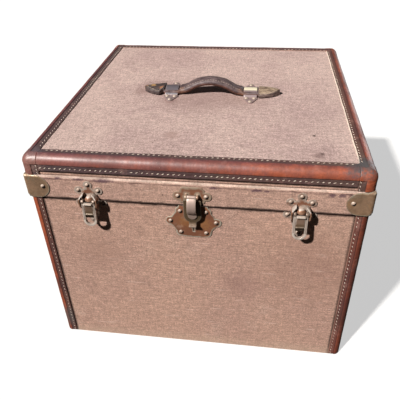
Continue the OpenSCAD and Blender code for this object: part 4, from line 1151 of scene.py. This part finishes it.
look = Finish("waxed_thread", 0.6, 0.35)
age = look.group(age_tree, Size=40.0, Seed=3.0)
look.colour = look.blend(age["Blotch"] * 0.7, (216, 200, 184), (152, 128, 116))
thread = look.done()
edge_ways = np.arange(-CAP_REACH + 3 * MM, CAP_REACH - 2 * MM, STITCH_PITCH)
post_ways = np.arange(POST_LOW + 4 * MM, RIM - 3 * MM, STITCH_PITCH)
cap_ways = np.arange(BAND_TOP + 3 * MM, BAND_TOP + 20 * MM, STITCH_PITCH * 0.8)
uprights = [(k, sign) for k in range(4) for sign in (-1, 1)]
cap_lift = FLANGE_T + CAP_EXTRA - 0.1 * MM
stitches("stitches_lid", "lid", [(edge_ways, lid_seam(k, s)) for k in range(4) for s in S_ROWS]
         + [(cap_ways, upright_seam(*where, CAP_STITCH_A, cap_lift)) for where in uprights])
stitches("stitches_base", "base", [(post_ways, upright_seam(*where, POST_STITCH_A, FLANGE_T)) for where in uprights])

# %% [markdown]
# ## Solids that keep their own shape
# The canvas, the boards, the lining, the lock's case and bolt and the hinges are right as they are and only take
# a finish.

# %% Finishes on the frame's solids
BOARDS = [f"{part}_{side}_board" for part in ("base", "lid") for side in SIDES]
LEAVES = [f"hinge_{part}_leaf_{side}" for part in ("base", "lid") for side in ("left", "right")]
for material, nodes in (
    (case_canvas, ["base_canvas", "bottom_canvas", "lid_canvas"]), (band_cloth, ["band_canvas"]),
    (wood, [*BOARDS, "base_bottom_board", "lid_top_board", "lid_band", "dust_lip"]),
    (lining, ["base_lining", "lid_lining"]), (lock_case_metal, ["lock_case"]), (iron, ["lock_bolt", "hinge_pins"]),
    (plate_metal, LEAVES),
):
    for node in nodes:
        mesh = frame["nodes"][node].data
        mesh.materials.clear()
        mesh.materials.append(material)

# %% [markdown]
# ## Rolled handle
# The handle is one strip of leather, rolled round a core where the hand holds it and flat at its pointed ends. Its
# middle line is an arch made of three arcs that end flat, then a straight part to each tip. Across it the section
# is a superellipse, |y/a|^p + |z/h|^p = 1: nearly round in the grip, flatter and squarer in the straps.

# %% Handle's middle line and section
GRIP_HALF, GRIP_RISE, GRIP_H = 54 * MM, 16.5 * MM, 6 * MM
SHOULDER_X, TIP_LENGTH, TIP_HALF_W = 81 * MM, 36 * MM, 19 * MM
STRAP_A, STRAP_H = 14.3 * MM, 2.15 * MM
ROUND_STEPS = 56
grip_low, grip_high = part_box("handle_grip")
ends_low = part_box("handle_ends")[0]
HANDLE_X, HANDLE_Y = (grip_low.x + grip_high.x) / 2, (grip_low.y + grip_high.y) / 2
GRIP_A = (grip_high.y - grip_low.y) / 2
ARCH_ANGLE = 2 * math.atan(GRIP_RISE / GRIP_HALF)
ARC_SUM = GRIP_HALF / math.sin(ARCH_ANGLE)
ARCH_R, FOOT_R = 0.66 * ARC_SUM, 0.34 * ARC_SUM
ENDS_TOP, MIDDLE_Z = ends_low.z + 11.0 * MM, ends_low.z + GRIP_H
LENGTHS = np.cumsum([0, ARCH_R * ARCH_ANGLE, FOOT_R * ARCH_ANGLE, SHOULDER_X - GRIP_HALF, TIP_LENGTH])


def middle_line(way):
    """Point (x, z) and slope of the handle's middle line at the way walked from its crown, to either side."""
    side, way = np.sign(way), np.abs(way)
    crown = np.minimum(way / ARCH_R, ARCH_ANGLE)
    foot = ARCH_ANGLE - np.clip((way - LENGTHS[1]) / FOOT_R, 0, ARCH_ANGLE)
    in_crown = way < LENGTHS[1]
    x = np.where(in_crown, ARCH_R * np.sin(crown), GRIP_HALF - FOOT_R * np.sin(foot))
    z = np.where(in_crown, GRIP_RISE - ARCH_R * (1 - np.cos(crown)), FOOT_R * (1 - np.cos(foot)))
    return side * (x + np.maximum(way - LENGTHS[2], 0)), MIDDLE_Z + z, side * np.where(in_crown, crown, foot)


def powered(value, exponent):
    """The value's size to the power 2 / exponent, with its sign: a circle's sine and cosine make a superellipse."""
    return np.sign(value) * np.abs(value) ** (2 / exponent)


def leaf(past):
    """Half width of a pointed end at the way past its shoulder: two arcs that meet at the tip."""
    radius = (TIP_LENGTH**2 + TIP_HALF_W**2) / (2 * TIP_HALF_W)
    return np.sqrt(np.maximum(radius**2 - past**2, 0)) - (radius - TIP_HALF_W)


def handle_skin(way, theta):
    """Point on the handle's surface: way along it, theta round it (0 at the back, 90 degrees on top). The middle
    line's point, plus a times the powered cosine across it and the height times the powered sine along its normal.
    Smooth steps lead from the grip's width, height and power to the strap's, and a leaf's outline ends it."""
    x, z, slope = middle_line(way)
    out, theta_in = np.abs(way), theta % (2 * np.pi)
    strap = rise(out, LENGTHS[2] - 2.5 * MM, LENGTHS[2] + 1.2 * MM)
    end = (out > LENGTHS[3] + 0.2 * MM).astype(float)
    left_end = end * (way < 0)
    past = np.clip(out - LENGTHS[3], 0, TIP_LENGTH - 0.1 * MM)
    a = GRIP_A + strap * (STRAP_A - GRIP_A)
    a = a + end * (np.maximum(leaf(past), 0.5 * MM) - a)
    power = 2.6 + 1.2 * strap + 2.2 * end
    across, upright = powered(np.cos(theta), power), powered(np.sin(theta), power)
    torn = left_end * (across < -0.2) * (1 - rise(past, 1 * MM, 8 * MM))
    b = a * across * (1 - 0.42 * torn)
    crown = ENDS_TOP - MIDDLE_Z - 4.5 * MM * (b / TIP_HALF_W) ** 2 - 1.2 * MM * (past / TIP_LENGTH) ** 2
    top = GRIP_H + strap * (STRAP_H - GRIP_H)
    top = top + end * (crown - top)
    rough = ripple(way * 1.3 + theta * 0.02, 90, 0.05) * 0.35 * MM
    rough = rough + ripple(way * 2 - theta * 0.03, 91, 0.02) * 0.15 * MM
    rough = rough * (1 - strap * (1 - end)) * (1 + 1.2 * left_end)
    n = np.where(upright > 0, upright * (top + rough), upright * (GRIP_H - 0.2 * MM))
    n = n + left_end * 1.8 * MM * (1 - rise(past, 0, 14 * MM))
    seam = bump_at(theta_in, np.radians(338), 0.09) + bump_at(theta_in, np.radians(202), 0.09)
    b = b * (1 - 0.05 * seam * (1 - end)) * (1 + 0.015 * ripple(way, 93, 0.06) * (1 - strap))
    return np.stack([HANDLE_X + x + n * np.sin(slope), HANDLE_Y + b, z + n * np.cos(slope)], axis=-1), end


half_ways = np.concatenate([
    np.linspace(0, LENGTHS[2], 60)[:-1], np.linspace(LENGTHS[2], LENGTHS[3] - 0.1 * MM, 14),
    [LENGTHS[3] + 0.3 * MM], np.linspace(LENGTHS[3] + 1 * MM, LENGTHS[4] - 0.2 * MM, 40)])
ways = np.concatenate([-half_ways[:0:-1], half_ways])
WAY, THETA = np.meshgrid(ways, np.arange(ROUND_STEPS) * 2 * np.pi / ROUND_STEPS, indexing="ij")
handle_points, handle_end = handle_skin(WAY, THETA)
handle_values = {
    "under": (1 - rise(np.sin(THETA), -0.15, 0.1)) * (1 - handle_end),
    "left": handle_end * (WAY < 0),
    "right": handle_end * (WAY > 0),
    "foot": bump_at(np.abs(WAY), LENGTHS[2] - 2 * MM, 13 * MM) * rise(-np.cos(THETA), -0.2, 0.6),
    "top": rise(np.sin(THETA), 0.55, 0.8),
}
handle_piece = make_piece("rolled_handle", handle_points, swept(handle_points), **handle_values)
print("handle", len(ways), "stations,", np.round(handle_points.reshape(-1, 3).max(0), 4), "highest")

# %% [markdown]
# The grip is grey brown with creases along it, redder under the arch and at its feet. The right end is worn to a
# bare tan, the left end is nearly black with three bare spots.

# %% Handle finish
look = Finish("handle_leather", 0.5, 0.45)
age = look.group(age_tree, Size=26.0, Seed=5.0)
under, left, right, foot, top = map(look.carried, handle_values)
crease = look.noise(look.scaled(look.place, 0.35, 1.0, 1.0), 260.0, 6.0, 0.7)
look.colour = look.blend(crease.ramp(0.35, 0.68), (64, 50, 52), (120, 103, 103))
look.lay(age["Pale"] * 0.4, (156, 136, 128))
look.lay(under, look.blend(crease.ramp(0.3, 0.7), (58, 36, 30), (112, 68, 52)))
look.lay((foot + (crease * 1.4 - 0.7)).ramp(0.45, 1.1) * 0.65, (112, 78, 60))
look.lay(right * (top * 0.75 + 0.2), look.blend(crease.ramp(0.36, 0.66), (92, 72, 62), (188, 166, 140)))
look.lay(left, look.blend(crease.ramp(0.3, 0.7), (34, 26, 28), (96, 82, 80)))
for centre, reach, tint in (((-100, -6, 381), 4.5, (206, 160, 104)), ((-84, -14, 380), 4, (170, 116, 84)),
                            ((-113, -6, 378), 4, (176, 130, 92))):
    look.mark(centre, reach, tint, 0.85, 1.2)
look.shade(Roughness=crease.ramp(0.3, 0.7, 0.62, 0.42))
look.bump(crease + look.noise(look.place, 700.0, 3.0), 0.5 * MM, 0.6)
dress(handle_piece, "handle", "handle_leather", look.done(), "handle_grip", "handle_ends")

# %% [markdown]
# The grip's seam is held by small close stitches along the top edges of the roll, and a line of them follows the
# outline of each pointed end.

# %% Handle stitches
END_POWER, END_STEPS, END_INSET = 6.0, 17, 3.4 * MM


def skin_seam(way_list, theta_list):
    """Places, directions and up vectors along a line drawn on the handle by its way and theta."""
    here = handle_skin(way_list, theta_list)[0]
    next_ways = np.append(way_list[1:], way_list[-1] + 0.2 * MM)
    ahead = handle_skin(next_ways, np.append(theta_list[1:], theta_list[-1]))[0]
    beside = handle_skin(way_list, theta_list + 0.02)[0]
    way = ahead - here
    up = np.cross(beside - here, way)
    up = up / np.linalg.norm(up, axis=1, keepdims=True)
    up = np.where(up[:, 2:] < 0, -up, up)
    return here + up * 0.1 * MM, way, up


def end_outline(side):
    """Line END_INSET inside a pointed end's outline, from one shoulder round the tip to the other."""
    past = np.concatenate([np.linspace(2.5, 30, END_STEPS), np.linspace(30, 2.5, END_STEPS)]) * MM
    half = leaf(past)
    share = np.clip((half - END_INSET) / half, 0, 1) * np.repeat([1, -1], END_STEPS)
    return side * (LENGTHS[3] + past), np.arccos(np.sign(share) * np.abs(share) ** (END_POWER / 2))


seam_ways = np.arange(-LENGTHS[2] + 3 * MM, LENGTHS[2] - 3 * MM, 4.2 * MM)
rows = [skin_seam(seam_ways, np.full(len(seam_ways), np.radians(angle))) for angle in (50, 130)]
rows += [skin_seam(*end_outline(side)) for side in (-1, 1)]
places, directions, ups = (np.concatenate(v) for v in zip(*rows))
look = Finish("handle_thread", 0.6, 0.3)
look.colour = srgb(176, 160, 146)
piece = spindles("stitches_handle", places, directions, ups, np.full(len(places), 2.4 * MM), 0.8 * MM)
dress(piece, "handle", "handle_leather", look.done())
